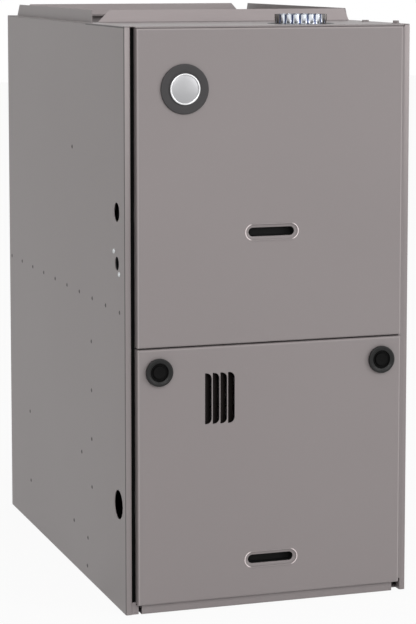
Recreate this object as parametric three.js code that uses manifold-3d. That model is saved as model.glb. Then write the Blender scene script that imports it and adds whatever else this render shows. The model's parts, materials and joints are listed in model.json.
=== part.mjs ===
// A forced-air gas furnace of the 80 per cent upflow kind, in a 444.5 mm (17.5 in) cabinet.
// Millimetres, +Z up. The doors face -Y, and the origin is on the floor, in the middle of the casing.
// Depths named "...Depth" that place a piece are counted back from the casing's front flanges.

import * as THREE from 'three';
import { mergeVertices } from 'three/addons/utils/BufferGeometryUtils.js';
import Module from 'manifold-3d';

const wasm = await Module();
wasm.setup();

// ---- Clearances
const seat = 0.3;                 // between pieces that rest on, or are screwed to, each other
const slip = 0.3;                 // round a tube or pin in its hole
const runClear = 1.5;             // round what turns or slides

// ---- Casing
const casingWidth = 444.5;
const casingDepth = 719;
const casingHeight = 863.6;
const casingSheet = 1;
const bendInside = 1.2;           // inside radius of a sheet-metal bend
const frontReturn = 9.5;          // front flange of each side, seen beside the doors
const returnLip = 14;             // the flange's edge, turned back into the casing
const edgeFlange = 16;            // inward flanges that the top and the base are screwed to

// ---- Openings in each side: gas pipe, wiring, and the lower service hole
const upperHoleDepth = 41.6;
const gasHoleRise = 86.3;         // above the burners' axes
const gasHoleRadius = 14.2;
const wiringHoleRise = 63.6;      // above the blower deck
const wiringHoleRadius = 10.5;
const serviceHole = { depth: 37.8, height: 157.8, radius: 22 };

// ---- Top plate and duct flanges
const plateCorner = 3;
const ductSideMargin = 12.25;
const ductFrontDepth = 212;
const ductRearMargin = 15;
const ductFlangeHeight = 19;      // 3/4 in
// How far each end of a flange is cut back: [at its foot, at its top], for its two ends.
const frontFlangeCuts = [[8, 27], [1, 9]];
const rearFlangeCuts = [[8, 25], [10, 27]];
const leftFlangeCuts = [[0, 1], [12, 29]];
const rightFlangeCuts = [[8, 19], [2, 10]];
const ventX = 75;
const ventDepth = 72;
const ventRadius = 38.1;          // 3 in vent connector
const ventRise = 14;
const ventTail = 24;              // how far the collar hangs below the top plate
const ventLap = 12;               // how far the flue slips over the collar's tail
const ventFlute = 1.5;
const ventFluteCount = 20;
const ventWall = 0.8;
const ventSides = 20;
const ventRingRadius = 49;        // flat ring that is riveted under the top plate
const headerDepth = 17;           // stiffening lip under the front of the top plate
const headerDrop = 20;

// ---- Base
const baseRailMargin = 23.25;     // from the casing's sides to the ends of the rail
const baseRailTop = 14.5;
const baseRailProud = 2;
const baseRailShelf = 12;

// ---- Doors
const doorProud = 10.5;           // how far the doors stand out of the casing
const doorDepth = 24;
const doorSideMargin = 15.45;     // of the casing, seen beside the doors
const doorSheet = 1;
const doorBend = 3;               // outside radius of the door's folded edges
const doorHem = 9;                // flange turned in round the back of a door
const doorSeam = 396.5;
const seamGap = 2;
const upperDoorTopGap = 2.6;
const lowerDoorBottom = 15.5;

const handleLength = 71;
const handleOpening = 12.8;
const handleRim = 6;              // pressed slope round the pocket
const handleRimDepth = 2.5;
const handlePocket = 19;
const handleWall = 1.6;
const handleFingerRoom = 9;       // the pocket's room above its mouth
const handleFlange = 7;
const upperHandleRise = 163.8;    // above the foot of its door
const lowerHandleRise = 55.2;

const badgeInset = 71.8;          // from the door's left edge
const badgeDrop = 87.9;           // below the door's top
const badgeRadius = 37;
const badgeThickness = 3.2;
const medallionRadius = 23;
const medallionThickness = 3;

const slotCount = 4;
const slotPitch = 11.9;
const slotWidth = 10.4;
const slotHeight = 76;
const slotDrop = 78.5;            // from the seam between the doors to the slots' middle
const firstSlotX = -98.5;         // middle of the leftmost slot
const slotCorner = 8.5;
const vaneSheet = 1.2;
const vaneDepth = 9;
const louvreMargin = 7;
const louvreFrame = 3;

// ---- Quarter-turn knobs
const knobInset = 32.3;           // from the side of its door
const knobDrop = 34.8;            // below the seam between the doors
const knobRadius = 20.5;
const knobProud = 6;
const knobShaftRadius = 7;
const knobRecessRadius = 13;
const knobRecessDepth = 4.6;
const knobBossRadius = 9.5;
const camLength = 32;
const camWidth = 13;
const camThickness = 3;

// ---- Rail between the doors
const railDepth = 16;
const railSheet = 1.2;
const railBelowSeam = 24.5;
const railAboveSeam = 18.5;
const railFlange = 22;
const railShelfDepth = 2;         // front edge of the shelf that the upper door stands on

// ---- Partitions
const deckTop = 453;
const deckFrontDepth = 22;
const deckFlange = 14;
const vestibuleDepth = 190;
const vestibuleFlange = 15;

// ---- Heat exchanger: three tubes, four passes each
const tubeRadius = 22.2;          // 1 3/4 in tube
const tubeWall = 1.2;
const tubePitch = 90;
const tubeMiddleX = 10;
const tubeCount = 3;
const firstPassRise = 53;         // above the blower deck
const lastPassDrop = 135.6;       // below the casing's top
const tubeRearGap = 57.8;         // behind the rear bends
const tubeFrontGap = 12.8;        // between the front bends and the vestibule panel
const tubeSides = 8;
const supportBeforeBend = 42;
const supportMargin = 16;
const supportArm = 40;            // height of the arms out to the casing's sides
const supportFlange = 18;
const limitProbeRadius = 9;

// ---- Collector box and draft inducer
const collectorDepth = 60;
const collectorSheet = 1.2;
const collectorMargin = 16;
const collectorHalfHeight = 38;
const collectorCorner = 8;
const collectorFlange = 10;
const inducerScrollStart = 58;
const inducerScrollEnd = 80;
const inducerThickness = 52;
const inducerWall = 2;
const inducerOutletRise = 66;     // outlet flange above the wheel's axis
const inducerFacets = 10;
const inducerStartAngle = 60;     // degrees, at the cutoff
const inducerFlange = 8;
const inducerFlangeSheet = 4;
const inducerEarRadius = 6;
const inducerTapLength = 16;
const inducerWheelRadius = 50;
const inducerWheelWidth = 26;
const inducerInletRadius = 30;
const inducerShaftRadius = 4;
const inducerBladeCount = 8;
const motorStack = 22;            // lamination stack of the inducer's motor
const motorStandoff = 12;
const motorWidth = 80;
const motorTall = 70;
const motorRotorRadius = 20;
const coolingFanRadius = 30;
const coolingBladeCount = 6;

// ---- Burners and gas train
const burnerFrontDepth = 72;
const burnerRearDepth = 170;
const burnerBellRadius = 16;
const burnerThroatRadius = 10;
const burnerHeadRadius = 15;
const burnerSheet = 0.9;
const burnerWing = 20;
const sensorDepth = 180;          // flame sensor and igniter, between the burners and the tubes
const sensorRod = 50;
const rackSheet = 1.2;
const rackFrontDepth = 34;
const rackPlateDepth = 78;
const rackHalfWidth = 140;
const rackFloorDrop = 24;         // rack's floor below the burners' axes
const rackHeight = 66;
const manifoldDepth = 47;
const manifoldRadius = 10.7;      // 1/2 in pipe
const manifoldElbow = 18;
const bossDepth = 3;
const orificeLength = 15;
const valveX = -112;
const valveWidth = 78;
const valveDepth = 58;
const valveTall = 62;
const valveFrontDepth = 34;
const valveKnobRadius = 13;

// ---- Blower
const wheelRadius = 127;          // 10 in wheel
const wheelWidth = 203;           // 8 in wide
const wheelInner = 105;
const bladeCount = 32;
const bladeSheet = 0.9;
const wheelRim = 4;
const hubRadius = 19;
const hubLength = 32;
const blowerRearDepth = 299;      // from the wheel's axis to the casing's back
const blowerDrop = 217;           // from the deck to the wheel's axis
const scrollStart = 137;
const scrollEnd = 205;
const scrollStartAngle = 80;      // degrees, at the cutoff
const scrollHalfWidth = 131;
const scrollSheet = 1;
const scrollRim = 7;
const scrollFlange = 15;
const inletRadius = 104;
const inletLip = 14;
const blowerShaftRadius = 6.35;   // 1/2 in shaft
const motorRadius = 70;           // 5 1/2 in motor
const motorLength = 128;
const motorInnerEnd = -36;
const bandWidth = 26;
const bandSheet = 2;
const armCount = 3;
const armWidth = 18;
const capacitorLength = 52;
const capacitorWidth = 32;
const capacitorTall = 76;
const capacitorBehindAxis = 150;
const capacitorAboveAxis = 130;
const strapGrow = 3;              // how much wider than the can its strap is

// ---- Controls in the blower compartment
const trayDepth = 84;
const trayLeft = -70;
const trayRight = 152;
const trayTall = 159.7;
const trayFold = 24;
const traySheet = 1.2;
const boardInset = 64;            // from the tray's left edge
const boardRise = 10;             // above the tray's lower edge
const boardWidth = 150;
const boardTall = 104;
const boardStandoff = 8;
const boardSheet = 1.6;
const boardPostInset = 7;
const transformerInset = 26;
const transformerRise = 120;
const transformerHalf = 28;
const boxDepth = 52;              // junction box
const boxWidth = 56;
const boxTall = 66;
const boxSheet = 1.2;
const knockoutRadius = 8;
const doorSwitchX = 118;
const doorSwitchRise = 9;         // above the rail's lower edge
const plungerReach = 7.5;         // how far the released plunger stands out of the rail
const plungerStem = 7;            // what stays in the switch when the plunger is released
const plungerTravel = 4;          // how far the shut door presses it in
const rolloutTravel = 1.5;

// ---- Places worked out from the sizes above
const halfWidth = casingWidth / 2;
const front = -casingDepth / 2;
const back = casingDepth / 2;
const innerHalf = halfWidth - casingSheet;
const fitHalf = innerHalf - seat;
const backFit = back - casingSheet - bendInside;     // clear of the rear bends
const openingHalf = halfWidth - frontReturn;
const plateBottom = casingHeight - casingSheet;
const wrapperTop = plateBottom - seat;
const ductHalfWidth = halfWidth - ductSideMargin;
const ductRearDepth = casingDepth - ductRearMargin;
const baseRailHalf = halfWidth - baseRailMargin;
const doorHalf = halfWidth - doorSideMargin;
const upperDoorTop = casingHeight - upperDoorTopGap;
const upperDoorBottom = doorSeam + seamGap / 2;
const upperHandleHeight = upperDoorBottom + upperHandleRise;
const lowerHandleHeight = lowerDoorBottom + lowerHandleRise;
const badgeX = badgeInset - doorHalf;
const badgeHeight = upperDoorTop - badgeDrop;
const slotMiddleHeight = doorSeam - slotDrop;
const knobX = doorHalf - knobInset;
const knobHeight = doorSeam - knobDrop;
const railBottom = doorSeam - railBelowSeam;
const railTop = doorSeam + railAboveSeam;
const wallPlane = at(vestibuleDepth);                 // front face of the vestibule panel
const firstPassHeight = deckTop + firstPassRise;
const outletHeight = casingHeight - lastPassDrop;
const passBend = (outletHeight - firstPassHeight) / 6;     // half the distance between two passes
const frontBendDepth = vestibuleDepth + tubeFrontGap + tubeRadius + passBend;
const rearBendDepth = casingDepth - tubeRearGap - tubeRadius - passBend;
const supportDepth = rearBendDepth - supportBeforeBend;
const burnerHeight = firstPassHeight;
const rackFloor = burnerHeight - rackFloorDrop;
const gasHole = { depth: upperHoleDepth, height: burnerHeight + gasHoleRise, radius: gasHoleRadius };
const wiringHole = { depth: upperHoleDepth, height: deckTop + wiringHoleRise, radius: wiringHoleRadius };
const blowerDepth = casingDepth - blowerRearDepth;
const blowerHeight = deckTop - blowerDrop;
const doorSwitchHeight = railBottom + doorSwitchRise;

function at(depth) {
  return front + depth;
}

// ---------------------------------------------------------------- shapes and solids

const weld = 1e-4;

function solidOf(geometry) {
  const bare = new THREE.BufferGeometry();
  bare.setAttribute('position', geometry.getAttribute('position'));
  bare.setIndex(geometry.getIndex());
  const merged = mergeVertices(bare, weld);
  const corners = merged.getIndex().array;
  const kept = [];
  for (let i = 0; i < corners.length; i += 3) {
    const [a, b, c] = [corners[i], corners[i + 1], corners[i + 2]];
    if (a !== b && b !== c && c !== a) kept.push(a, b, c);
  }
  return new wasm.Manifold(new wasm.Mesh({
    numProp: 3,
    vertProperties: Float32Array.from(merged.getAttribute('position').array),
    triVerts: Uint32Array.from(kept),
  }));
}

function geometryOf(solid) {
  const mesh = solid.getMesh();
  const geometry = new THREE.BufferGeometry();
  geometry.setAttribute('position', new THREE.BufferAttribute(mesh.vertProperties, 3));
  geometry.setIndex(new THREE.BufferAttribute(mesh.triVerts, 1));
  return geometry;
}

function join(...geometries) {
  return geometryOf(geometries.map(solidOf).reduce((sum, next) => sum.add(next)));
}

function cut(geometry, ...tools) {
  return geometryOf(tools.map(solidOf).reduce((rest, tool) => rest.subtract(tool), solidOf(geometry)));
}

function arc(x, y, radius, from, to, steps) {
  return Array.from({ length: steps + 1 }, (_, i) => {
    const angle = THREE.MathUtils.degToRad(from + (to - from) * i / steps);
    return [x + radius * Math.cos(angle), y + radius * Math.sin(angle)];
  });
}

function shapeOf(points, ...holes) {
  const shape = new THREE.Shape(points.map(([x, y]) => new THREE.Vector2(x, y)));
  shape.holes = holes.map((hole) => new THREE.Path(hole.map(([x, y]) => new THREE.Vector2(x, y))));
  return shape;
}

function circle(radius, sides = 24, x = 0, y = 0) {
  return arc(x, y, radius, 0, 360, sides).slice(0, -1);
}

// A hole whose flats clear a round, or equally faceted, pipe of the given radius.
function holeRound(radius, sides, x, y) {
  return circle((radius + slip) / Math.cos(Math.PI / sides), sides, x, y);
}

function rectangle(x0, x1, y0, y1) {
  return [[x0, y0], [x1, y0], [x1, y1], [x0, y1]];
}

function roundedRectangle(x0, x1, y0, y1, radius, steps = 3) {
  return [
    ...arc(x1 - radius, y1 - radius, radius, 0, 90, steps),
    ...arc(x0 + radius, y1 - radius, radius, 90, 180, steps),
    ...arc(x0 + radius, y0 + radius, radius, 180, 270, steps),
    ...arc(x1 - radius, y0 + radius, radius, 270, 360, steps),
  ];
}

function stadium(length, width, steps = 6) {
  const reach = (length - width) / 2;
  return [...arc(reach, 0, width / 2, -90, 90, steps), ...arc(-reach, 0, width / 2, 90, 270, steps)];
}

// Outline of a folded sheet. The points run along its outer or first face, and the sheet lies to
// their left (side 1) or right (side -1). Every corner gets the same inside bend radius.
function foldedSheet(points, thickness, side, inside = bendInside, steps = 2) {
  const faceA = [];
  const faceB = [];
  points.forEach(([x, y], i) => {
    const [before, after] = [points[i - 1], points[i + 1]];
    const [ix, iy] = before ? unit(x - before[0], y - before[1]) : unit(after[0] - x, after[1] - y);
    if (!before || !after) {
      faceA.push([x, y]);
      faceB.push([x - iy * thickness * side, y + ix * thickness * side]);
      return;
    }
    const [ox, oy] = unit(after[0] - x, after[1] - y);
    const turn = Math.atan2(ix * oy - iy * ox, ix * ox + iy * oy);
    const toSheet = Math.sign(turn) === side;
    const radiusA = toSheet ? inside + thickness : inside;
    const radiusB = toSheet ? inside : inside + thickness;
    const setback = radiusA * Math.tan(Math.abs(turn) / 2);
    const hand = Math.sign(turn);
    const centre = [x - ix * setback - iy * radiusA * hand, y - iy * setback + ix * radiusA * hand];
    for (let k = 0; k <= steps; k++) {
      const angle = turn * k / steps;
      const nx = (iy * Math.cos(angle) + ix * Math.sin(angle)) * hand;
      const ny = (-ix * Math.cos(angle) + iy * Math.sin(angle)) * hand;
      faceA.push([centre[0] + nx * radiusA, centre[1] + ny * radiusA]);
      faceB.push([centre[0] + nx * radiusB, centre[1] + ny * radiusB]);
    }
  });
  return shapeOf([...faceA, ...faceB.reverse()]);
}

function unit(x, y) {
  const length = Math.hypot(x, y);
  return [x / length, y / length];
}

// Extrusions. Along Z a shape lies in XY, along Y it lies in XZ, and along X it lies in YZ.
function alongZ(shape, z0, z1) {
  return new THREE.ExtrudeGeometry(shape, { depth: z1 - z0, bevelEnabled: false }).translate(0, 0, z0);
}

function alongY(shape, y0, y1) {
  return new THREE.ExtrudeGeometry(shape, { depth: y1 - y0, bevelEnabled: false })
    .rotateX(Math.PI / 2).translate(0, y1, 0);
}

function alongX(shape, x0, x1) {
  const turn = new THREE.Matrix4().makeBasis(
    new THREE.Vector3(0, 1, 0), new THREE.Vector3(0, 0, 1), new THREE.Vector3(1, 0, 0));
  return new THREE.ExtrudeGeometry(shape, { depth: x1 - x0, bevelEnabled: false })
    .applyMatrix4(turn).translate(x0, 0, 0);
}

function block(x0, x1, y0, y1, z0, z1) {
  return new THREE.BoxGeometry(x1 - x0, y1 - y0, z1 - z0)
    .translate((x0 + x1) / 2, (y0 + y1) / 2, (z0 + z1) / 2);
}

// A revolve about Z. The profile holds [radius, height] pairs and runs up its outer side.
function turned(profile, sides = 24) {
  const closed = profile[0][0] > 0 ? [...profile, profile[0]] : profile;
  return new THREE.LatheGeometry(closed.map(([r, z]) => new THREE.Vector2(r, z)), sides)
    .rotateX(Math.PI / 2);
}

function mirroredX(geometry) {
  const index = geometry.scale(-1, 1, 1).getIndex();
  for (let i = 0; i < index.count; i += 3) {
    const second = index.getX(i + 1);
    index.setX(i + 1, index.getX(i + 2));
    index.setX(i + 2, second);
  }
  return geometry;
}

function turnedX(profile, sides) {
  return turned(profile, sides).rotateY(Math.PI / 2);
}

// A revolve about Y whose profile heights run towards -Y, out of the furnace's front.
function turnedForward(profile, sides) {
  return turned(profile, sides).rotateX(Math.PI / 2);
}

// A route of straight runs and round bends, as stations with a place and a direction each.
class BentPath extends THREE.Curve {
  constructor(corners, radius, steps) {
    super();
    this.stations = [];
    const points = corners.map((corner) => new THREE.Vector3(...corner));
    const runs = points.slice(1).map((point, i) => point.clone().sub(points[i]).normalize());
    this.add(points[0], runs[0]);
    for (let i = 1; i < runs.length; i++) {
      const turn = runs[i - 1].angleTo(runs[i]);
      const start = points[i].clone().addScaledVector(runs[i - 1], -radius * Math.tan(turn / 2));
      const inward = runs[i].clone().addScaledVector(runs[i - 1], -Math.cos(turn)).normalize();
      for (let k = 0; k <= steps; k++) {
        const angle = turn * k / steps;
        const place = start.clone()
          .addScaledVector(runs[i - 1], radius * Math.sin(angle))
          .addScaledVector(inward, radius * (1 - Math.cos(angle)));
        const heading = runs[i - 1].clone().multiplyScalar(Math.cos(angle))
          .addScaledVector(inward, Math.sin(angle));
        this.add(place, heading);
      }
    }
    this.add(points[points.length - 1], runs[runs.length - 1]);
  }

  add(place, heading) {
    const last = this.stations[this.stations.length - 1];
    if (!last || last.place.distanceTo(place) > 0.01) this.stations.push({ place, heading });
  }

  get steps() {
    return this.stations.length - 1;
  }

  station(u) {
    return this.stations[Math.round(u * this.steps)];
  }

  getPointAt(u, target = new THREE.Vector3()) {
    return target.copy(this.station(u).place);
  }

  getTangentAt(u, target = new THREE.Vector3()) {
    return target.copy(this.station(u).heading);
  }
}

function pipe(path, radius, wall, sides) {
  const shape = wall < radius
    ? shapeOf(circle(radius, sides), circle(radius - wall, sides))
    : shapeOf(circle(radius, sides));
  return new THREE.ExtrudeGeometry(shape, { steps: path.steps, extrudePath: path, bevelEnabled: false });
}

// Moves every corner of a geometry with the given function.
function warped(geometry, place) {
  const position = geometry.getAttribute('position');
  const point = new THREE.Vector3();
  for (let i = 0; i < position.count; i++) {
    place(point.fromBufferAttribute(position, i));
    position.setXYZ(i, point.x, point.y, point.z);
  }
  return geometry;
}

// ---------------------------------------------------------------- finishes

const finishes = {
  paint: { color: 0x8f8b89, roughness: 0.5, metalness: 0.15 },
  galvanised: { color: 0xa9adb0, roughness: 0.42, metalness: 0.85 },
  aluminised: { color: 0x9a9c9b, roughness: 0.5, metalness: 0.8 },
  blackPlastic: { color: 0x151516, roughness: 0.45, metalness: 0 },
  badgeGrey: { color: 0x4b4a4b, roughness: 0.55, metalness: 0 },
  silver: { color: 0xc9c9ca, roughness: 0.28, metalness: 0.9 },
  castAluminium: { color: 0xb4b6b7, roughness: 0.5, metalness: 0.85 },
  blackSteel: { color: 0x1d1e20, roughness: 0.5, metalness: 0.3 },
  brass: { color: 0xb08d3e, roughness: 0.35, metalness: 0.9 },
  ceramic: { color: 0xd8d3c6, roughness: 0.7, metalness: 0 },
  greyPlastic: { color: 0x8c9092, roughness: 0.5, metalness: 0 },
  redPlastic: { color: 0x9c1f1c, roughness: 0.4, metalness: 0 },
  silicone: { color: 0x2b2b2d, roughness: 0.65, metalness: 0 },
  circuitBoard: { color: 0x1e5b34, roughness: 0.5, metalness: 0 },
};

const furnace = new THREE.Group();

function piece(name, geometry, finish, parent = furnace, position = [0, 0, 0]) {
  geometry.computeVertexNormals();
  const mesh = new THREE.Mesh(geometry, new THREE.MeshStandardMaterial(finishes[finish]));
  mesh.name = name;
  mesh.position.set(...position);
  parent.add(mesh);
  return mesh;
}

function assembly(position, parent = furnace) {
  const group = new THREE.Group();
  group.position.set(...position);
  parent.add(group);
  return group;
}

// ---------------------------------------------------------------- casing

function inwardFlange(z) {
  const outer = halfWidth - casingSheet / 2;
  const inner = outer - edgeFlange;
  const start = front + returnLip;
  const end = back - casingSheet / 2;
  const shape = shapeOf([
    [-outer, start], [-inner, start], [-inner, end - edgeFlange], [inner, end - edgeFlange],
    [inner, start], [outer, start], [outer, end], [-outer, end],
  ]);
  return alongZ(shape, z, z + casingSheet);
}

function sideHole({ depth, height, radius }, x0, x1) {
  return alongX(shapeOf(circle(radius, 16, at(depth), height)), x0, x1);
}

function casingWrapper() {
  const outline = [
    [-openingHalf, front + returnLip], [-openingHalf, front], [-halfWidth, front],
    [-halfWidth, back], [halfWidth, back], [halfWidth, front], [openingHalf, front],
    [openingHalf, front + returnLip],
  ];
  const walls = alongZ(foldedSheet(outline, casingSheet, -1), 0, wrapperTop);
  const shell = join(walls, inwardFlange(wrapperTop - casingSheet), inwardFlange(casingSheet + seat));
  const reach = halfWidth + 1;
  const holes = [gasHole, wiringHole, serviceHole].flatMap((hole) => [
    sideHole(hole, -reach, -innerHalf + 1), sideHole(hole, innerHalf - 1, reach)]);
  return cut(shell, ...holes);
}

// An upright strip round the supply opening. Its ends are cut back from their foot to their top.
function ductFlange(length, [startCut, endCut], draw) {
  const [top, foot] = [casingHeight + ductFlangeHeight, plateBottom];
  const rise = casingHeight;
  return draw(shapeOf([
    [startCut[0], foot], [length - endCut[0], foot], [length - endCut[0], rise],
    [length - endCut[1], top], [startCut[1], top], [startCut[0], rise],
  ]));
}

function topPlate() {
  const [ductFront, ductRear] = [at(ductFrontDepth), at(ductRearDepth)];
  const vent = circle(ventRadius + slip + ventFlute, 24, ventX, at(ventDepth));
  const duct = rectangle(-ductHalfWidth, ductHalfWidth, ductFront, ductRear);
  const plate = alongZ(
    shapeOf(roundedRectangle(-halfWidth, halfWidth, front, back, plateCorner), duct, vent),
    plateBottom, casingHeight);
  const across = 2 * ductHalfWidth;
  const deep = ductRear - ductFront;
  const sheet = casingSheet;
  const frontFlange = ductFlange(across, frontFlangeCuts,
    (shape) => alongY(shape, ductFront - sheet, ductFront).translate(-ductHalfWidth, 0, 0));
  const rearFlange = ductFlange(across, rearFlangeCuts,
    (shape) => alongY(shape, ductRear, ductRear + sheet).translate(-ductHalfWidth, 0, 0));
  const leftFlange = ductFlange(deep, leftFlangeCuts,
    (shape) => alongX(shape, -ductHalfWidth - sheet, -ductHalfWidth).translate(0, ductFront, 0));
  const rightFlange = ductFlange(deep, rightFlangeCuts,
    (shape) => alongX(shape, ductHalfWidth, ductHalfWidth + sheet).translate(0, ductFront, 0));
  const lipHalf = fitHalf - edgeFlange - 1;
  const header = block(-lipHalf, lipHalf, at(headerDepth), at(headerDepth) + sheet,
    plateBottom - headerDrop, plateBottom + sheet / 2);
  return join(plate, frontFlange, rearFlange, leftFlange, rightFlange, header);
}

function basePan() {
  const railFront = front - baseRailProud;
  const profile = foldedSheet([
    [backFit, 0], [railFront, 0], [railFront, baseRailTop],
    [railFront + baseRailShelf, baseRailTop], [railFront + baseRailShelf, baseRailTop / 2],
  ], casingSheet, -1);
  const floor = block(-fitHalf, fitHalf, at(returnLip + seat), backFit, 0, casingSheet);
  return join(alongX(profile, -baseRailHalf, baseRailHalf), floor);
}

// Flue collar: crimped above the plate and plain below it, on a flat ring under the plate.
function ventCollar() {
  const sides = 2 * ventFluteCount;
  const fluted = (radius) => circle(radius, sides).map(([x, y], i) => {
    const swing = (i % 2 ? -ventFlute : ventFlute) / radius;
    return [x * (1 + swing), y * (1 + swing)];
  });
  const crimp = alongZ(shapeOf(fluted(ventRadius), fluted(ventRadius - ventWall)),
    casingHeight, casingHeight + ventRise);
  const tail = alongZ(shapeOf(circle(ventRadius, ventSides), circle(ventRadius - ventWall, ventSides)),
    casingHeight - ventTail, casingHeight + ventWall);
  const ringTop = plateBottom - seat;
  const ring = alongZ(shapeOf(circle(ventRingRadius, 24),
    circle(ventRadius - ventWall / 2, ventSides)), ringTop - casingSheet, ringTop);
  return join(crimp, tail, ring);
}

piece('casing_wrapper', casingWrapper(), 'paint');
piece('top_plate', topPlate(), 'paint');
piece('base_pan', basePan(), 'paint');
piece('vent_collar', ventCollar(), 'galvanised', furnace, [ventX, at(ventDepth), 0]);

// ---------------------------------------------------------------- partitions

const scrollCutX = scrollStart * Math.cos(THREE.MathUtils.degToRad(scrollStartAngle));
const outletFront = at(blowerDepth) + scrollCutX;
const outletRear = at(blowerDepth) + scrollEnd;

function blowerDeck() {
  const [y0, y1] = [at(deckFrontDepth), backFit];
  const low = deckTop - deckFlange;
  const profile = foldedSheet([[y0, low], [y0, deckTop], [y1, deckTop], [y1, low]], casingSheet, -1);
  const side = (x) => block(x, x + casingSheet, y0 + 3, y1 - 3, low, deckTop - 0.5);
  const deck = join(alongX(profile, -fitHalf, fitHalf), side(-fitHalf), side(fitHalf - casingSheet));
  const outlet = block(-scrollHalfWidth + 2, scrollHalfWidth - 2, outletFront + 2, outletRear - 2,
    deckTop - 5, deckTop + 5);
  return cut(deck, outlet);
}

const tubeX = Array.from({ length: tubeCount },
  (_, i) => tubeMiddleX + (i - (tubeCount - 1) / 2) * tubePitch);
const limitSwitchPlace = [tubeX[1] + tubePitch / 2, wallPlane, firstPassHeight + 2.5 * passBend];

function vestibulePanel() {
  const outline = [
    [-fitHalf, wallPlane - vestibuleFlange], [-fitHalf, wallPlane + casingSheet],
    [fitHalf, wallPlane + casingSheet], [fitHalf, wallPlane - vestibuleFlange],
  ];
  const panel = alongZ(foldedSheet(outline, casingSheet, -1), deckTop + seat,
    wrapperTop - casingSheet - seat);
  const hole = (x, z, radius) =>
    alongY(shapeOf(holeRound(radius, tubeSides, x, z)), wallPlane - 2, wallPlane + 3);
  const tubeHoles = tubeX.flatMap((x) => [firstPassHeight, outletHeight].map((z) => hole(x, z, tubeRadius)));
  return cut(panel, ...tubeHoles, hole(limitSwitchPlace[0], limitSwitchPlace[2], limitProbeRadius));
}

// The rail between the doors. The latches turn up behind its plain lower edge.
function crossRail() {
  const face = at(railDepth);
  const profile = foldedSheet([[face, railBottom], [face, railTop], [face + railFlange, railTop]],
    railSheet, -1);
  const shelf = block(-doorHalf + 6, doorHalf - 6, at(railShelfDepth), face + railSheet / 2,
    doorSeam - 0.5, doorSeam + 0.5);
  const tab = (x) => block(x, x + railSheet, face + railSheet / 2, face + railFlange,
    railBottom + 4, railTop - 0.5);
  const rail = join(alongX(profile, -fitHalf, fitHalf), shelf, tab(-fitHalf), tab(fitHalf - railSheet));
  const switchHole = block(doorSwitchX - 8, doorSwitchX + 8, face - 2, face + 4,
    doorSwitchHeight - 6, doorSwitchHeight + 6);
  return cut(rail, switchHole);
}

piece('blower_deck', blowerDeck(), 'galvanised');
piece('vestibule_panel', vestibulePanel(), 'galvanised');
piece('cross_rail', crossRail(), 'galvanised');

// ---------------------------------------------------------------- heat exchanger

function heatExchangerTube() {
  const start = vestibuleDepth - 3;
  const [rear, near] = [rearBendDepth + passBend, frontBendDepth - passBend];
  const level = (pass) => 2 * passBend * pass;
  const route = new BentPath([
    [0, at(start), level(0)], [0, at(rear), level(0)], [0, at(rear), level(1)],
    [0, at(near), level(1)], [0, at(near), level(2)], [0, at(rear), level(2)],
    [0, at(rear), level(3)], [0, at(start), level(3)],
  ], passBend, 2);
  return pipe(route, tubeRadius, tubeWall, tubeSides);
}

// Restraint plate at the back of the tubes, held from the casing's sides by an arm each way.
function tubeSupport() {
  const reach = tubePitch * (tubeCount - 1) / 2 + tubeRadius + supportMargin;
  const [x0, x1] = [tubeMiddleX - reach, tubeMiddleX + reach];
  const low = firstPassHeight - tubeRadius - supportMargin;
  const high = outletHeight + tubeRadius + supportMargin;
  const middle = (low + high) / 2;
  const [armLow, armHigh] = [middle - supportArm / 2, middle + supportArm / 2];
  const face = at(supportDepth);
  const rear = face + rackSheet;
  const plate = alongY(shapeOf([
    [x0, low], [x1, low], [x1, armLow], [fitHalf, armLow], [fitHalf, armHigh], [x1, armHigh],
    [x1, high], [x0, high], [x0, armHigh], [-fitHalf, armHigh], [-fitHalf, armLow], [x0, armLow],
  ]), face, rear);
  const flange = (x) => block(x, x + rackSheet, face + rackSheet / 2, rear + supportFlange, armLow, armHigh);
  const holes = tubeX.flatMap((x) => [0, 1, 2, 3].map((pass) => {
    const z = firstPassHeight + 2 * passBend * pass;
    return alongY(shapeOf(holeRound(tubeRadius, tubeSides, x, z)), face - 1, rear + 1);
  }));
  return cut(join(plate, flange(-fitHalf), flange(fitHalf - rackSheet)), ...holes);
}

const tube = heatExchangerTube();
tubeX.forEach((x, i) => {
  piece(`heat_exchanger_tube_${i + 1}`, tube.clone(), 'aluminised', furnace, [x, 0, firstPassHeight]);
});
piece('tube_support', tubeSupport(), 'galvanised');

// ---------------------------------------------------------------- draft inducer

// A volute's side view: [u, v] points, u to the outlet side and v up, about the wheel's axis.
function scrollOutline(start, end, startAngle, outletRise, steps) {
  const spiral = Array.from({ length: steps + 1 }, (_, i) => {
    const share = i / steps;
    const angle = THREE.MathUtils.degToRad(startAngle + (360 - startAngle) * share);
    const radius = start + (end - start) * share;
    return [radius * Math.cos(angle), radius * Math.sin(angle)];
  });
  return [[spiral[0][0], outletRise], ...spiral, [end, outletRise]];
}

const inducerCutX = inducerScrollStart * Math.cos(THREE.MathUtils.degToRad(inducerStartAngle));
const inducerX = ventX - (inducerCutX + inducerScrollEnd) / 2;
const collectorFront = wallPlane - collectorDepth;
const inducerBack = collectorFront - seat;
const inducerFront = inducerBack - inducerThickness;
const tapFoot = [-0.62 * inducerScrollStart, -0.72 * inducerScrollStart];      // seen from the front
const tapHeading = [-Math.sin(0.7 * Math.PI), Math.cos(0.7 * Math.PI)];

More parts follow.
